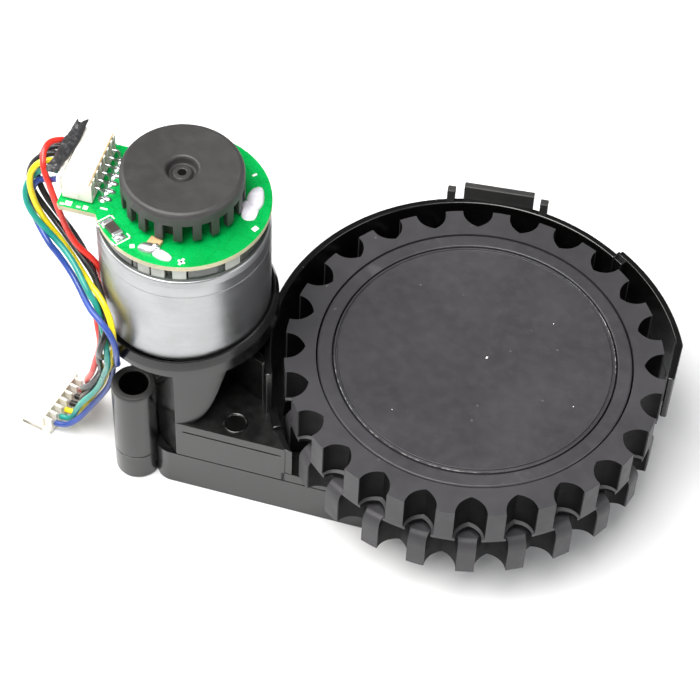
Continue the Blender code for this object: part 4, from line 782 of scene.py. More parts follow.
FLECKS = [(2.35, 0.35, 0.50, 0.36), (13.2, 12.6, 0.20, 0.16), (-12.4, -17.5, 0.22, 0.14), (21.5, -6.4, 0.20, 0.18)]
cap = Piece("wheel_face_cap")
cap.add(lathe(rounded([
    (0.0, 33.46), (26.9, 33.46), (27.35, 33.50), (27.45, 33.12), (27.72, 33.12), (27.82, 33.46), (28.12, 33.40), (28.2, 33.1),
    (28.2, 31.9), (0.0, 31.9)], 0.10, 3, closed=False), n=192), 0)
for a0, a1 in ((196.0, 296.0), (8.0, 62.0)):
    cap.add(lathe([(27.98, 33.40), (27.98, 33.47), (28.09, 33.49), (28.12, 33.40)], (0.0, 0.0), 60, a0, a1), 1)
for x, y, w, d in FLECKS:
    cap.add(block((x, y, 33.46), (w, d, 0.07), 35.0 * x), 2)
cap.done([M["hub"], M["scuff"], M["silk"]], "wheel", ["hub_cap"], "hub_black")

# ------------------------------------------------------------------ gearbox shells
def outline(circles, inset=0.0, n=240):
    """Taut line round circles of (x, y, r), drawn in by inset; a square corner has r None."""
    out = []
    for i in range(n):
        a = math.tau * (i + 0.5) / n
        nx, ny = math.cos(a), math.sin(a)
        best = None
        for x, y, r in circles:
            if r is None:
                x, y, r = x + inset + 0.4, y + inset + 0.4, 0.4 + inset
            reach = x * nx + y * ny + (r - inset)
            if best is None or reach > best[0]:
                best = (reach, x + (r - inset) * nx, y + (r - inset) * ny)
        if not out or math.hypot(best[1] - out[-1][0], best[2] - out[-1][1]) > 0.03:
            out.append((best[1], best[2]))
    return out


HIGH = [(0.0, 0.0, 24.4), (*GEAR_2, 15.2), (*MOTOR, 12.0), (-55.2, -24.4, None)]
LOW = [(0.0, 0.0, 24.4), (*GEAR_2, 15.2), (*MOTOR, 12.0), (-56.5, -20.4, 4.0)]


def split(points, centre, radius, outside=True, n_arc=90):
    """Part of a closed outline outside or inside a circle, closed along the circle."""
    def far(p):
        return math.hypot(p[0] - centre[0], p[1] - centre[1]) > radius

    def cross(p, q):
        lo, hi = 0.0, 1.0
        side = far(p)
        for _ in range(40):
            m = (lo + hi) / 2
            s = (p[0] + (q[0] - p[0]) * m, p[1] + (q[1] - p[1]) * m)
            if far(s) == side:
                lo = m
            else:
                hi = m
        return (p[0] + (q[0] - p[0]) * lo, p[1] + (q[1] - p[1]) * lo)

    n = len(points)
    start = next(i for i in range(n) if far(points[i]) == outside and far(points[i - 1]) != outside)
    run = [cross(points[start - 1], points[start])]
    i = start
    while far(points[i % n]) == outside:
        run.append(points[i % n])
        i += 1
    run.append(cross(points[(i - 1) % n], points[i % n]))
    a0 = math.atan2(run[-1][1] - centre[1], run[-1][0] - centre[0])
    a1 = math.atan2(run[0][1] - centre[1], run[0][0] - centre[0])
    d = (a1 - a0) % math.tau
    if outside:
        d = d - math.tau if d > math.pi else d
    elif d > math.tau * 0.75:
        d -= math.tau
    line = [
        (centre[0] + radius * math.cos(a0 + d * k / n_arc), centre[1] + radius * math.sin(a0 + d * k / n_arc)) for k in range(1, n_arc)
    ]
    return run + line, len(run)


def fill(loops, flip=False):
    """Triangles between an outline and the outlines of its holes."""
    from mathutils.geometry import tessellate_polygon
    return tessellate_polygon([[Vector((x, y, 0.0)) for x, y in loop] for loop in loops])


def denser(points, step):
    """Long straight runs of an outline cut into short ones."""
    out = []
    for p, q in zip(points, points[1:] + points[:1]):
        n = max(1, int(math.hypot(q[0] - p[0], q[1] - p[1]) / step))
        out += [(p[0] + (q[0] - p[0]) * k / n, p[1] + (q[1] - p[1]) * k / n) for k in range(n)]
    return out


def lid(outer, inner, z_rim, z_roof, z_top, holes=(), groove=None):
    """Box open below: outer and inner outlines, roof between z_roof and z_top, holes through the roof.
    z_rim is a height or a pair of lists with one height for each point of the two outlines."""
    rim_o, rim_i = z_rim if isinstance(z_rim, tuple) else ([z_rim] * len(outer), [z_rim] * len(inner))
    verts, faces = [], []

    def ring_of(points, heights):
        start = len(verts)
        verts.extend((x, y, h) for (x, y), h in zip(points, heights))
        return list(range(start, start + len(points)))

    def wall(a, b):
        for i in range(len(a)):
            k = (i + 1) % len(a)
            faces.append((a[i], a[k], b[k], b[i]))

    ob, ot = ring_of(outer, rim_o), ring_of(outer, [z_top] * len(outer))
    ib, it = ring_of(inner, rim_i), ring_of(inner, [z_roof] * len(inner))
    if groove:
        # shallow line along the front wall
        z0, z1, depth, x0, x1 = groove
        last = ob
        for z, d in ((z0, 0.0), (z0 + 0.06, depth), (z1 - 0.06, depth), (z1, 0.0)):
            pts = [(x, y + (d if y < -24.3 and x0 < x < x1 else 0.0)) for x, y in outer]
            row = ring_of(pts, [z] * len(outer))
            wall(last, row)
            last = row
        wall(last, ot)
    else:
        wall(ob, ot)
    wall(ib, it)
    tops, roofs = [ot], [it]
    for hole in holes:
        ht, hr = ring_of(hole, [z_top] * len(hole)), ring_of(hole, [z_roof] * len(hole))
        wall(ht, hr)
        tops.append(ht)
        roofs.append(hr)

    def tess(index_loops):
        flat = [i for loop in index_loops for i in loop]
        for tri in fill([[(verts[i][0], verts[i][1]) for i in loop] for loop in index_loops]):
            faces.append(tuple(flat[k] for k in tri))

    tess(tops)
    tess(roofs)
    tess([ob, ib])
    return verts, faces


def strip(points, inner, z0, z1):
    """Wall between two open lines."""
    return prism(list(points) + list(reversed(inner)), z0, z1)


def upright(points, centre, turn, thick):
    """Flat web: outline in (distance, height), standing in a vertical plane."""
    ca, sa = math.cos(math.radians(turn)), math.sin(math.radians(turn))
    rings = []
    for off in (-thick / 2, thick / 2):
        rings.append([(centre[0] + d * ca - off * sa, centre[1] + d * sa + off * ca, z) for d, z in points])
    return loft(rings)


upper = Piece("gearbox_top_shell")
TOWER = [(*MOTOR, 7.4), (*GEAR_1, 8.7)]
TOWER_IN = [(*MOTOR, 4.6), (*GEAR_1, 7.2)]
hi_out, hi_in = outline(HIGH), outline(HIGH, 1.6)
a_out, a_n = split(denser(hi_out, 1.0), WELL_C, WELL_R, True, 60)
a_in, a_m = split(hi_in, WELL_C, WELL_R + 3.2, True, 60)
rims = ([10.15] * a_n + [11.0] * (len(a_out) - a_n), [10.15] * a_m + [11.0] * (len(a_in) - a_m))
upper.add(lid(a_out, a_in, rims, 19.0, 20.7, [outline(TOWER_IN, 0.0, 120)], (18.1, 18.5, 0.4, -53.0, -33.2)), 0, 0.16, 2, 40.0)
b_out, b_n = split(hi_out, WELL_C, WELL_R + 0.6, False, 60)
b_in, b_m = split(hi_in, WELL_C, WELL_R + 0.4, False, 60)
bores = [circle((0.0, 0.0), 4.9, 40)] + [circle(c, 1.2, 16) for c in (GEAR_2, (-19.2, 0.0))]
rims = ([10.15] * b_n + [10.97] * (len(b_out) - b_n), [10.15] * b_m + [10.97] * (len(b_in) - b_m))
upper.add(lid(b_out, b_in, rims, 11.0, 12.7, bores), 0, 0.0)
# floor of the well behind the gearbox, its ribs and the shroud
sector = [(-22.0, 6.0), (10.0, 10.0)] + arc(*WELL_C, 40.3, 62.0, 196.0, 80)
upper.add(prism(sector, 11.02, 12.68), 0, 0.2)
for a, inner_r in ((74.0, 25.2), (102.0, 25.2), (130.0, 27.6)):
    ca, sa = math.cos(math.radians(a)), math.sin(math.radians(a))
    reach = 40.4 + WELL_C[0] * ca + WELL_C[1] * sa
    upper.add(block(((inner_r + reach) / 2 * ca, (inner_r + reach) / 2 * sa, 9.3), (reach - inner_r, 1.4, 4.6), a), 0, 0.25)
upper.add(strip(arc(*WELL_C, SHROUD_R, 55.8, 204.6, 150), arc(*WELL_C, WELL_R, 55.8, 204.6, 150), 11.2, 33.5), 0, 0.28, 3)
corner = math.degrees(math.asin(15.2 / 42.0))
xf = 42.0 * math.cos(math.radians(corner))
wing_line = arc(0, 0, 42.1, 57.4, corner, 36) + rounded([(xf + 0.2, 14.9), (xf + 0.2, 5.8), (xf - 1.2, 5.8), (xf - 1.3, 14.6)], 0.3, 2, closed=False) + arc(0, 0, 40.8, corner + 1.2, 57.4, 36)
upper.add(prism(wing_line, 20.7, 33.5), 0, 0.28, 3)
upper.add(strip(arc(0, 0, 41.98, 58.0, 24.0, 40), arc(0, 0, 40.75, 58.0, 24.0, 40), 11.3, 21.2), 0, 0.2)
upper.add(strip(arc(0, 0, 41.9, 58.4, 54.4, 6), arc(0, 0, 39.65, 58.4, 54.4, 6), 20.7, 32.9), 0, 0.2)
# ledge that follows the shroud's edge on the outside
upper.add(strip(arc(*WELL_C, SHROUD_R + 0.0, 60.0, 204.4, 130), arc(*WELL_C, SHROUD_R - 0.5, 60.0, 204.4, 130), 11.3, 33.3), 0, 0.1)
curb = arc(*WELL_C, 38.4, 203.8, 219.9, 16) + arc(*WELL_C, 40.2, 217.6, 203.8, 16)
upper.add(prism(curb, 11.8, 20.66), 0, 0.15)
upper.add(strip(arc(*WELL_C, 40.3, 203.6, 211.0, 12), arc(*WELL_C, 38.45, 203.6, 211.0, 12), 18.0, 21.8), 0, 0.2)
# clip and guides behind the shroud, in the lighter matte material as painted light
for n, (offset, width, top) in enumerate(((0.0, 14.7, 37.1), (-9.6, 1.7, 36.6), (9.9, 1.7, 36.6))):
    a = math.radians(95.6)
    ca, sa = math.cos(a), math.sin(a)
    r = 41.0 - (SHROUD_R - math.sqrt(SHROUD_R ** 2 - offset ** 2))
    c = (WELL_C[0] + r * ca - offset * sa, WELL_C[1] + r * sa + offset * ca)
    upper.add(block((*c, (27.0 + top) / 2), (1.5 if n == 0 else 1.7, width, top - 27.0), 95.6), 1, 0.25, 3)
# tower, cup, apron
upper.add(lid(outline(TOWER, 0.0, 160), outline(TOWER_IN, 0.0, 120), 20.4, 35.6, 37.1, [circle(MOTOR, 3.4, 30), circle(GEAR_1, 1.4, 16)]), 0, 0.0)


def cup_shape():
    n = 160
    prof = [(3.4, 36.8, 0), (18.1, 36.8, 0), (18.4, 37.1, 0), (18.4, -2.0, 1), (18.32, -1.75, 1), (17.72, -0.15, 1), (17.58, 0.0, 1), (17.42, 0.0, 1), (17.25, -0.1, 1), (17.2, -0.3, 1), (17.2, 39.2, 0), (3.4, 39.2, 0)]
    rings = []
    for i in range(n):
        a = math.tau * i / n
        rim = 41.65 + 1.75 * math.cos(a - math.radians(35.0))
        rings.append([(MOTOR[0] + r * math.cos(a), MOTOR[1] + r * math.sin(a), rim + z if up else z) for r, z, up in prof])
    return loft(rings, around=True)


upper.add(cup_shape(), 0)
apron = []
for i in range(25):
    x = -55.1 + 9.9 * i / 24
    low = min(37.0, 20.5 + 15.6 * (max(0.0, x + 55.2) / 9.6) ** 3.4)
    if i == 0:
        low = 19.2
    yo = MOTOR[1] - math.sqrt(17.62 ** 2 - (x - MOTOR[0]) ** 2)
    yi = MOTOR[1] - math.sqrt(16.2 ** 2 - (x - MOTOR[0]) ** 2)
    apron.append([(x, yo, low), (x, yo, 37.4), (x, yi, 37.4), (x, yi, low)])
upper.add(loft(apron), 0, 0.25, 3, 50.0)
upper.add(upright([(1.5, 12.0), (9.5, 12.0), (9.5, 37.9), (3.0, 26.6), (1.5, 26.6)], (TUBE[0] + 1.0, TUBE[1] + 3.2), -24.0, 1.3), 0, 0.3, 3)
upper.add(block((-43.2, -11.6, 26.4), (8.6, 1.9, 13.8), -24.0), 0, 0.3, 3)
# pivot tube; the upward faces of its top rim take the lighter matte material as painted light
upper.add(lathe(rounded([(2.8, 7.15), (2.8, 26.2), (3.0, 26.75), (3.3, 27.0), (4.2, 27.0), (4.5, 26.6), (4.6, 26.0), (4.6, 7.15)], 0.15, 3), TUBE, 96), 0, choose=lambda c, n: 1 if c.z > 26.3 and n.z > 0.35 else 0)
# seats under the wheel and posts for the screws
upper.add(lathe([(4.9, 9.3), (5.5, 9.3), (5.5, 13.1), (5.3, 13.3), (3.1, 13.3), (3.1, 12.9), (4.9, 12.9)], (0.0, 0.0), 64), 0)
SCREWS = [(-51.0, -20.55), (-22.0, -20.6), (20.6 * math.cos(math.radians(-40)), 20.6 * math.sin(math.radians(-40))),
          (20.6 * math.cos(math.radians(52)), 20.6 * math.sin(math.radians(52))), (-24.0, 14.9)]
for n, c in enumerate(SCREWS):
    top = 19.5 if n == 0 else 12.2
    upper.add(lathe([(1.3, 5.1), (2.3, 5.1), (2.3, top), (0.0, top), (0.0, 11.9), (1.3, 11.9)], c, 32), 0)
# round boss on the roof
upper.add(lathe(rounded([(0.0, 20.6), (2.5, 20.6), (2.5, 20.85), (2.3, 21.0), (2.1, 20.85), (2.0, 20.75), (0.0, 20.75)], 0.08, 2, closed=False), (-43.4, -20.9), 48), 0)
upper.done([M["shell"], M["matte"]], "gearbox", ["gearbox_upper_shell"], "shell_black", sharp=35.0)

lower = Piece("gearbox_bottom_shell")
lo_out, lo_in = outline(LOW), outline(LOW, 1.6)


def tray():
    holes = [circle(c, 2.35, 36) for c in SCREWS]
    verts, faces = lid(lo_out, lo_in, -9.85, -1.6, 0.0, holes)
    return [(x, y, -z) for x, y, z in verts], faces


lower.add(tray(), 0, 0.3, 3, 45.0)
lower.add(lathe(rounded([(2.8, 0.0), (3.1, 0.0), (4.3, 0.0), (4.6, 0.3), (4.6, 6.85), (2.8, 6.85)], 0.15, 2), TUBE, 96), 0)
for c in SCREWS:
    lower.add(lathe([(1.35, 2.0), (2.35, 2.0), (2.35, 1.45), (2.7, 1.45), (2.7, 4.8), (1.35, 4.8)], c, 36), 0)
for c, r, z in ((GEAR_1, 2.5, 7.4), (GEAR_2, 2.5, 4.9), ((-19.2, 0.0), 2.5, 2.0)):
    lower.add(lathe([(1.2, 1.45), (r, 1.45), (r, z), (1.2, z)], c, 40), 0)
lower.add(lathe([(3.9, 1.45), (5.2, 1.45), (5.2, 2.1), (3.9, 2.1)], (0.0, 0.0), 56), 0)
lower.add(block((-37.0, -20.2, 3.0), (1.2, 7.0, 4.0)), 0)
lower.add(block((-66.0, -7.0, 3.0), (6.0, 1.2, 4.0)), 0)
lower.done([M["shell"]], "gearbox", ["gearbox_lower_shell"], "shell_black", sharp=35.0)

# ------------------------------------------------------------------ motor can
can = Piece("motor_can_body")
can.add(lathe(rounded([
    (15.75, 64.0), (16.1, 64.35), (16.5, 64.1), (16.62, 63.6), (16.8, 62.8), (16.8, 60.25), (16.72, 60.1), (16.8, 59.95),
    (16.8, 40.6), (15.9, 39.5), (3.3, 39.5), (3.3, 40.6), (15.6, 40.8), (15.75, 41.4)], 0.35, 4, least=6.0), MOTOR, 192), 0)
can.done([M["can"]], "gearbox", ["motor_can"], "can_steel", sharp=60.0)

bell = Piece("motor_end_ring")
bell.add(lathe(rounded([(2.7, 66.2), (13.2, 66.2), (13.2, 67.7), (15.3, 67.7), (15.3, 64.2), (15.3, 62.3), (13.6, 62.3), (13.6, 64.4), (2.7, 64.4)], 0.15, 2), MOTOR, 128), 0)
# Sections round the ring: kind 0 dark plastic, kind 1 pale plastic, kind 2 a recessed dark notch; the pale section
# from -43 to -31 degrees is a painted glint.
edge_az = [(-108, -104.6, 0), (-104, -95, 1), (-94, -84.5, 1), (-83.5, -80.5, 2), (-79.5, -70, 1), (-69, -44, 0), (-43, -31, 1), (-30, 0, 0), (1, 60, 0), (61, 120, 0), (121, 180, 0), (181, 214, 0), (215, 251, 0)]
for a, b, kind in edge_az:
    out_r = 15.4 if kind == 2 else (16.25 if kind else 16.1)
    bell.add(lathe([(14.8, 63.9), (out_r, 63.9), (out_r, 67.75), (14.8, 67.75)], MOTOR, max(4, int((b - a) / 3)), a, b), min(kind, 1) if kind != 2 else 0, 0.18, 3)
bell.add(lathe(rounded([(15.2, 64.5), (16.42, 64.5), (16.42, 65.0), (15.2, 65.0)], 0.12, 2), MOTOR, 128), 0)
bell.done([M["bell"], M["bell_light"]], "gearbox", ["motor_end_bell"], "bell_plastic")

# ------------------------------------------------------------------ encoder cap
enc = Piece("encoder_cap")
# The disc of radius 0.82 at the top's centre takes the near-black material: painted shade standing in for a deep
# shaft hole, which is only a shallow dip here.
enc.add(lathe(rounded([
    (0.0, 76.63), (0.78, 76.63), (0.82, 76.72), (0.95, 76.82), (1.70, 76.8), (2.0, 76.4), (2.15, 76.15), (2.55, 76.1), (2.75, 76.4), (2.95, 77.35), (3.15, 77.68), (3.45, 77.8),
    (10.9, 77.8), (11.35, 77.62), (11.65, 77.3), (11.8, 76.8), (11.8, 74.7), (10.6, 74.7), (10.6, 75.6), (4.2, 75.4), (3.6, 74.6), (3.2, 74.4), (3.2, 72.0), (0.0, 72.0)], 0.12, 2, closed=False, least=12.0), MOTOR, 160), 0, choose=lambda c, n: 1 if math.hypot(c.x - MOTOR[0], c.y - MOTOR[1]) < 0.82 and c.z > 75.0 else 0)
for k in range(20):
    a = 18.0 * k + 4.5 + 9.0
    enc.add(lathe([(10.6, 70.5), (11.8, 70.5), (11.8, 75.2), (10.6, 75.2)], MOTOR, 4, a - 4.3, a + 4.3), 0, 0.16)
enc.done([M["cap"], M["valley"]], "rotor", ["encoder_disc"], "cap_black", sharp=50.0)

# ------------------------------------------------------------------ encoder board
BOARD_R, TAB_Y0, TAB_Y1, TAB_X = 16.9, -15.6, 2.3, -80.2
a_up = math.degrees(math.asin((TAB_Y1 - MOTOR[1]) / BOARD_R))
a_dn = math.degrees(math.asin((TAB_Y0 - MOTOR[1]) / BOARD_R))
outline = arc(MOTOR[0], MOTOR[1], BOARD_R, -180.0 - a_dn, 180.0 - a_up, 150)
outline += [(TAB_X + 0.6, TAB_Y1), (TAB_X, TAB_Y1 - 0.6), (TAB_X, TAB_Y0 + 0.6), (TAB_X + 0.6, TAB_Y0)]
board = Piece("encoder_board_piece")
board.add(prism(outline, 68.1, 69.3), 0, 0.07, 2, 60.0, choose=lambda c, n: 0 if abs(n.z) > 0.6 else 1)
SILK_Z = 69.3


def silk(points, width=0.28):
    """Printed line on the board through points."""
    for (x0, y0), (x1, y1) in zip(points, points[1:]):
        d = math.hypot(x1 - x0, y1 - y0)
        board.add(block(((x0 + x1) / 2, (y0 + y1) / 2, SILK_Z + 0.02), (d + width, width, 0.05), math.degrees(math.atan2(y1 - y0, x1 - x0))), 2)


def turned_box(c, size, turn, dx, dy):
    ca, sa = math.cos(math.radians(turn)), math.sin(math.radians(turn))
    return (c[0] + dx * ca - dy * sa, c[1] + dx * sa + dy * ca)


CHIP, CHIP_TURN = (-67.9, -18.4), -38.0
for sx in (-1, 1):
    corner = [turned_box(CHIP, None, CHIP_TURN, sx * dx, dy) for dx, dy in ((2.3, -1.75), (3.35, -1.75), (3.35, 1.75), (2.3, 1.75))]
    silk(corner)
    board.add(block((*turned_box(CHIP, None, CHIP_TURN, sx * 2.15, 0.0), SILK_Z + 0.05), (1.7, 2.3, 0.14), CHIP_TURN), 3, 0.04)
# small marks and pads
for x, y, sx, sy, turn, kind in (
    (-63.2, -21.0, 0.9, 0.9, 20, 2), (-53.3, -21.9, 0.55, 1.7, -14, 2), (-53.3, -21.9, 1.5, 0.45, -14, 2), (-42.6, -10.2, 1.2, 1.0, 62, 2),
    (-78.0, -14.6, 1.3, 1.1, 0, 2), (-74.6, -14.7, 0.9, 0.9, 0, 2), (-46.6, 2.6, 1.0, 0.5, 50, 2), (-71.2, -13.9, 1.5, 0.4, 0, 2),
    (-75.9, -14.9, 0.9, 0.5, 0, 3), (-79.2, -15.0, 0.9, 0.6, 0, 3),
):
    board.add(block((x, y, SILK_Z + 0.03), (sx, sy, 0.08), turn), kind, 0.02)
board.done([M["board"], M["pcb_edge"], M["silk"], M["tin"]], "gearbox", ["encoder_board"], "board_green")

chip = Piece("board_resistor")
chip.add(block((*CHIP, 69.98), (2.7, 2.0, 0.66), CHIP_TURN), 0, 0.06)
for sx in (-1, 1):
    chip.add(block((*turned_box(CHIP, None, CHIP_TURN, sx * 1.62, 0.0), 69.97), (0.85, 2.08, 0.72), CHIP_TURN), 1, 0.14, 3)
    chip.add(blob((*turned_box(CHIP, None, CHIP_TURN, sx * 2.15, 0.0), 69.45), (1.3, 2.1, 0.50), CHIP_TURN, 2.0 + sx, 0.04), 1)
chip.done([M["chip"], M["solder"]], "gearbox", ["chip_resistor"], "chip")

for n, (x, y, side) in enumerate(((-59.0, -20.6, "left"), (-44.9, -4.2, "right"))):
    turn = math.degrees(math.atan2(y - MOTOR[1], x - MOTOR[0])) + 90.0
    joint = Piece("terminal_joint_" + side)
    joint.add(block((x, y, 67.4 if n == 0 else 67.0), (2.4, 0.45, 6.0 if n == 0 else 5.2), turn), 0, 0.08)
    if n == 0:
        joint.add(block((x - 0.35, y + 1.35, 69.75), (2.5, 2.0, 0.8), turn - 8), 1, 0.15)
        joint.add(blob((x - 1.0, y - 0.15, 69.45), (4.3, 2.5, 1.05), turn + 10, 1.7, 0.035), 3)
        joint.add(blob((x + 1.7, y - 0.95, 69.42), (4.3, 2.2, 0.70), turn - 8, 4.1, 0.035), 2)
        joint.add(blob((x + 0.1, y + 0.35, 69.55), (1.7, 1.3, 1.0), turn + 40, 7.9, 0.03), 3)
    else:
        joint.add(blob((x + 0.3, y + 0.9, 69.4), (6.4, 3.4, 1.05), turn - 4, 5.3, 0.08), 2)
        joint.add(blob((x - 0.1, y - 2.2, 69.38), (5.0, 3.5, 0.85), turn + 10, 9.1, 0.09), 2)
        joint.add(blob((x + 0.4, y + 1.5, 69.75), (3.0, 2.0, 0.80), turn - 10, 2.3, 0.05), 2)
    joint.done([M["tin"], M["tan"], M["glue"], M["solder"]], "gearbox", ["motor_terminal_" + side], "tinned", sharp=60.0)

# ------------------------------------------------------------------ header, pins, plugs
header = Piece("board_header_shell")
hx0, hx1, hy0, hy1, hz0, hz1 = -79.6, -73.6, -13.55, 0.35, 69.6, 74.5
header.add(block(((hx0 + hx1) / 2 - 0.3, (hy0 + hy1) / 2, hz1 - 0.4), (hx1 - hx0 - 0.6, hy1 - hy0, 0.8)), 0, 0.14)
header.add(block((hx1 - 0.42, (hy0 + hy1) / 2, hz1 - 0.12), (0.24, hy1 - hy0 - 0.1, 0.2)), 1, 0.04)
header.add(block(((hx0 + hx1) / 2, (hy0 + hy1) / 2, hz0 + 0.4), (hx1 - hx0, hy1 - hy0, 0.8)), 0, 0.14)
for y in (hy0 + 0.48, hy1 - 0.48):
    header.add(block(((hx0 + hx1) / 2, y, (hz0 + hz1) / 2), (hx1 - hx0 - 0.06, 0.9, hz1 - hz0 - 0.5)), 0, 0.1)
header.add(block((hx1 - 1.7, (hy0 + hy1) / 2, (hz0 + hz1) / 2), (1.2, hy1 - hy0 - 0.4, hz1 - hz0 - 0.5)), 0, 0.1)
# comb of slots above the bent pins
for k in range(8):
    y = -6.6 + 7.0 - 2.0 * k
    y = max(hy0 + 0.5, min(hy1 - 0.5, y))
    header.add(block((hx1 - 0.52, y, (hz0 + hz1) / 2), (1.0, 0.8, hz1 - hz0 - 0.2)), 0, 0.12)
# latch nose at the front end
header.add(block((hx0 + 2.2, hy0 - 0.0 + 0.12, hz0 + 1.5), (2.2, 0.5, 1.6)), 0, 0.1)
header.done([M["white"], M["tan"]], "gearbox", ["board_header"], "plug_white")
for k, y in enumerate(PIN_Y):
    pin = Piece("board_pin_%d" % (k + 1))
    path = [(-77.6, y, 72.0), (-73.2, y, 72.0), (-72.65, y, 71.85), (-72.3, y, 71.45), (-72.2, y, 70.8), (-72.2, y, 68.0)]
    pin.add(rod(catmull(path, 4), 0.27, 12), 0)
    pin.add(lathe(rounded([(0.0, 70.1), (0.34, 70.05), (0.5, 69.65), (0.95, 69.38), (0.98, 69.3), (0.0, 69.3)], 0.05, 2, closed=False), (-72.2, y), 24), 0)
    pin.add(blob((-71.75, y, 69.42), (2.7, 1.15, 0.5), 0.0, 3.0 + k, 0.06), 0)
    pin.done([M["tin"]], "gearbox", ["header_pin_%d" % (k + 1)], "tinned", sharp=60.0)

plug = Piece("board_plug_body")
plug.add(block((-78.75, -6.6, 72.1), (4.1, 11.5, 2.7)), 0, 0.15)
plug.add(block((-80.4, -6.6, 72.25), (1.0, 12.6, 3.4)), 0, 0.2)
for k in range(7):
    plug.add(block((-80.35, -6.6 + 6.0 - 2.0 * k, 74.0), (0.9, 0.5, 0.3)), 0, 0.08)
plug.done([M["white"]], "gearbox", ["board_plug"], "plug_white")

free = Piece("free_plug_body")


def plug_point(du, dv, z):
    return (ROW_C[0] + UX * du + VX * dv, ROW_C[1] + UY * du + VY * dv, z)


free.add(block(plug_point(-3.6, 0.0, 0.75), (7.0, 13.8, 1.5), PLUG_DIR), 0, 0.2)
free.add(block(plug_point(-4.4, 0.0, 2.2), (5.4, 13.8, 4.4), PLUG_DIR), 0, 0.25)
for k in range(7):
    free.add(block(plug_point(-1.0, (k - 3) * 2.0 + (0.12 if k == 0 else -0.12 if k == 6 else 0.0), 2.1), (1.9, 0.62, 4.2), PLUG_DIR), 0, 0.12)
for k in range(6):
    o = (k - 2.5) * 2.0
    free.add(block(plug_point(-1.2, o, 2.1), (1.6, 1.0, 0.5), PLUG_DIR), 1, 0.08)
    free.add(block(plug_point(-6.6, o, 4.35), (0.7, 0.9, 0.12), PLUG_DIR), 0, 0.05)
free_obj = free.done([M["white"], M["tin"]], "gearbox", ["free_plug"], "plug_white")

# ------------------------------------------------------------------ tape
def make_tape():
    """Strip of black tape over the wires, creased across and forked at its upper end."""
    line = [(-80.3, 0.4, 75.8), (-80.6, -2.2, 75.4), (-81.0, -5.2, 75.2), (-81.4, -8.0, 75.1), (-81.8, -10.4, 75.0), (-82.2, -12.2, 74.6)]
    path = catmull(line, 12)
    cols = 14
    n = len(path)
    top, low = [], []
    for i, c in enumerate(path):
        s = i / (n - 1)
        half = (1.20 + 0.16 * math.sin(s * 3.1)) * (1.0 - 0.12 * math.cos(s * 9.0)) * (1.0 if s < 0.85 else math.sqrt(max(0.08, 1.0 - ((s - 0.85) / 0.16) ** 2)))
        row_t, row_l = [], []
        for j in range(cols + 1):
            u = -1.0 + 2.0 * j / cols
            crease = 0.22 * noise.noise(Vector((s * 9.0, u * 1.6, 3.0))) + 0.12 * noise.noise(Vector((s * 26.0, u * 3.0, 7.0)))
            back = 0.0
            if s < 0.16:
                back = (0.16 - s) / 0.16 * (1.1 - 2.2 * max(0.0, 1.0 - abs(u + 0.15)) ** 1.2)
            p = Vector((c.x + u * half, c.y + back * 0.9, c.z - 0.38 * u * u + crease))
            row_t.append(p + Vector((0.0, 0.0, 0.09)))
            row_l.append(p - Vector((0.0, 0.0, 0.09)))
        top.append(row_t)
        low.append(row_l)
    rings = [t + list(reversed(l)) for t, l in zip(top, low)]
    strip = Piece("harness_tape_strip")
    strip.add(loft(rings), 0)
    return strip.done([M["tape"]], "gearbox", ["harness_tape"], "tape_black", sharp=70.0, weighted=False)


tape_obj = make_tape()

# ------------------------------------------------------------------ carried-over nodes
BY_SLOT = {
    "shell_black": M["shell"], "cap_black": M["cap"], "tyre_rubber": M["tyre"], "hub_black": M["hub"], "steel": M["steel"],
    "can_steel": M["can"], "tinned": M["tin"], "brass": M["brass"], "copper": M["copper"], "gear_white": M["gear"],
    "magnet": M["magnet"], "bell_plastic": M["bell"], "board_green": M["board"], "chip": M["chip"], "plug_white": M["white"],
    "tape_black": M["tape"], "wire_red": M["red"], "wire_black": M["black"], "wire_yellow": M["yellow"],
    "wire_green": M["green"], "wire_blue": M["blue"],
}
SLOT_OF = {entry["node"]: entry["material_slot"] for entry in frame["record"]["subparts"]}

for name, obj in NODES.items():
    mat = BY_SLOT[SLOT_OF[name]]
    if not obj.material_slots:
        obj.data.materials.append(mat)
    for s in obj.material_slots:
        s.material = mat

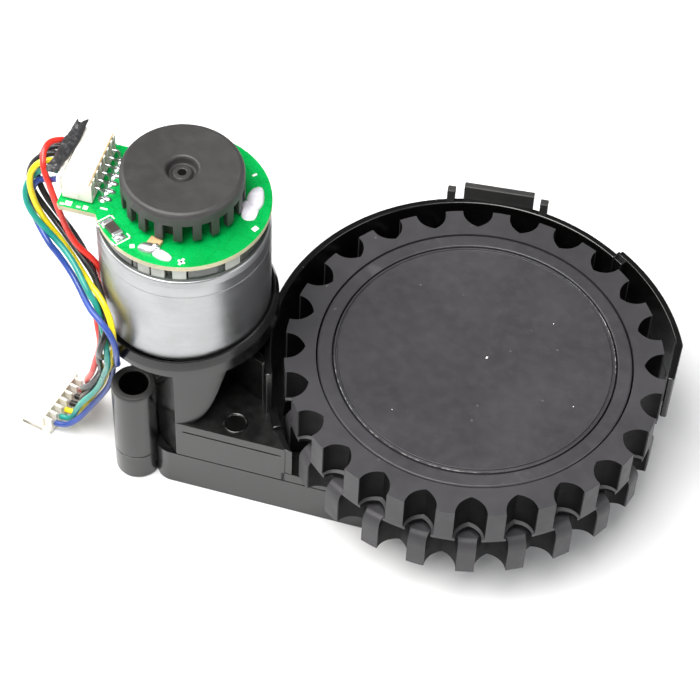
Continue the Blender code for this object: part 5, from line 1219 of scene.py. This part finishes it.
# ------------------------------------------------------------------ floor and light
def make_floor():
    mat, nt, bsdf = new_material("floor_white")
    vec = coords(nt)
    slow = noise_tex(nt, vec, 3.0, 2.0, 0.5)
    nt.links.new(mix_colour(nt, slow, (0.825, 0.825, 0.83), (0.850, 0.850, 0.850)), bsdf.inputs["Base Color"])
    bsdf.inputs["Roughness"].default_value = 0.7
    mesh = bpy.data.meshes.new("floor")
    s, z = 4.0, -0.00012
    mesh.from_pydata([(-s, -s, z), (s, -s, z), (s, s, z), (-s, s, z)], [], [(0, 1, 2, 3)])
    mesh.materials.append(mat)
    obj = bpy.data.objects.new("floor", mesh)
    bpy.context.scene.collection.objects.link(obj)


make_floor()


def area(name, loc, target, size, power, colour=(1.0, 1.0, 1.0), size_y=None):
    data = bpy.data.lights.new(name, "AREA")
    data.shape = "RECTANGLE"
    data.size = size
    data.size_y = size_y or size
    data.energy = power
    data.color = colour
    obj = bpy.data.objects.new(name, data)
    obj.location = loc
    obj.rotation_euler = (Vector(target) - Vector(loc)).to_track_quat("-Z", "Y").to_euler()
    bpy.context.scene.collection.objects.link(obj)


area("top_soft", (-0.16, -0.26, 0.78), (0.0, 0.0, 0.02), 0.62, 11.8, (1.0, 0.995, 0.985))
area("left_soft", (-0.60, 0.05, 0.45), (0.0, 0.0, 0.03), 0.40, 3.2, (1.0, 0.99, 0.97))
area("right_soft", (0.62, -0.10, 0.40), (0.0, 0.0, 0.03), 0.35, 1.5, (0.97, 0.985, 1.0))


def make_world():
    w = bpy.data.worlds.new("studio")
    bpy.context.scene.world = w
    w.use_nodes = True
    nt = w.node_tree
    bg = nt.nodes["Background"]
    tex = nt.nodes.new("ShaderNodeTexCoord")
    sep = nt.nodes.new("ShaderNodeSeparateXYZ")
    nt.links.new(tex.outputs["Generated"], sep.inputs[0])
    col = ramp(nt, remap(nt, sep.outputs["Z"], -1.0, 1.0, 0.0, 1.0), [(0.0, (0.30, 0.30, 0.30)), (0.5, (0.26, 0.26, 0.27)), (0.70, (0.22, 0.22, 0.23)), (0.82, (0.09, 0.09, 0.09)), (0.93, (0.10, 0.10, 0.10)), (0.97, (0.55, 0.55, 0.56)), (1.0, (0.80, 0.80, 0.80))])
    nt.links.new(col, bg.inputs["Color"])
    bg.inputs["Strength"].default_value = 0.90


make_world()
view = bpy.context.scene.view_settings
view.view_transform = "Standard"
view.look = "None"
view.exposure = 0.0
view.gamma = 1.0
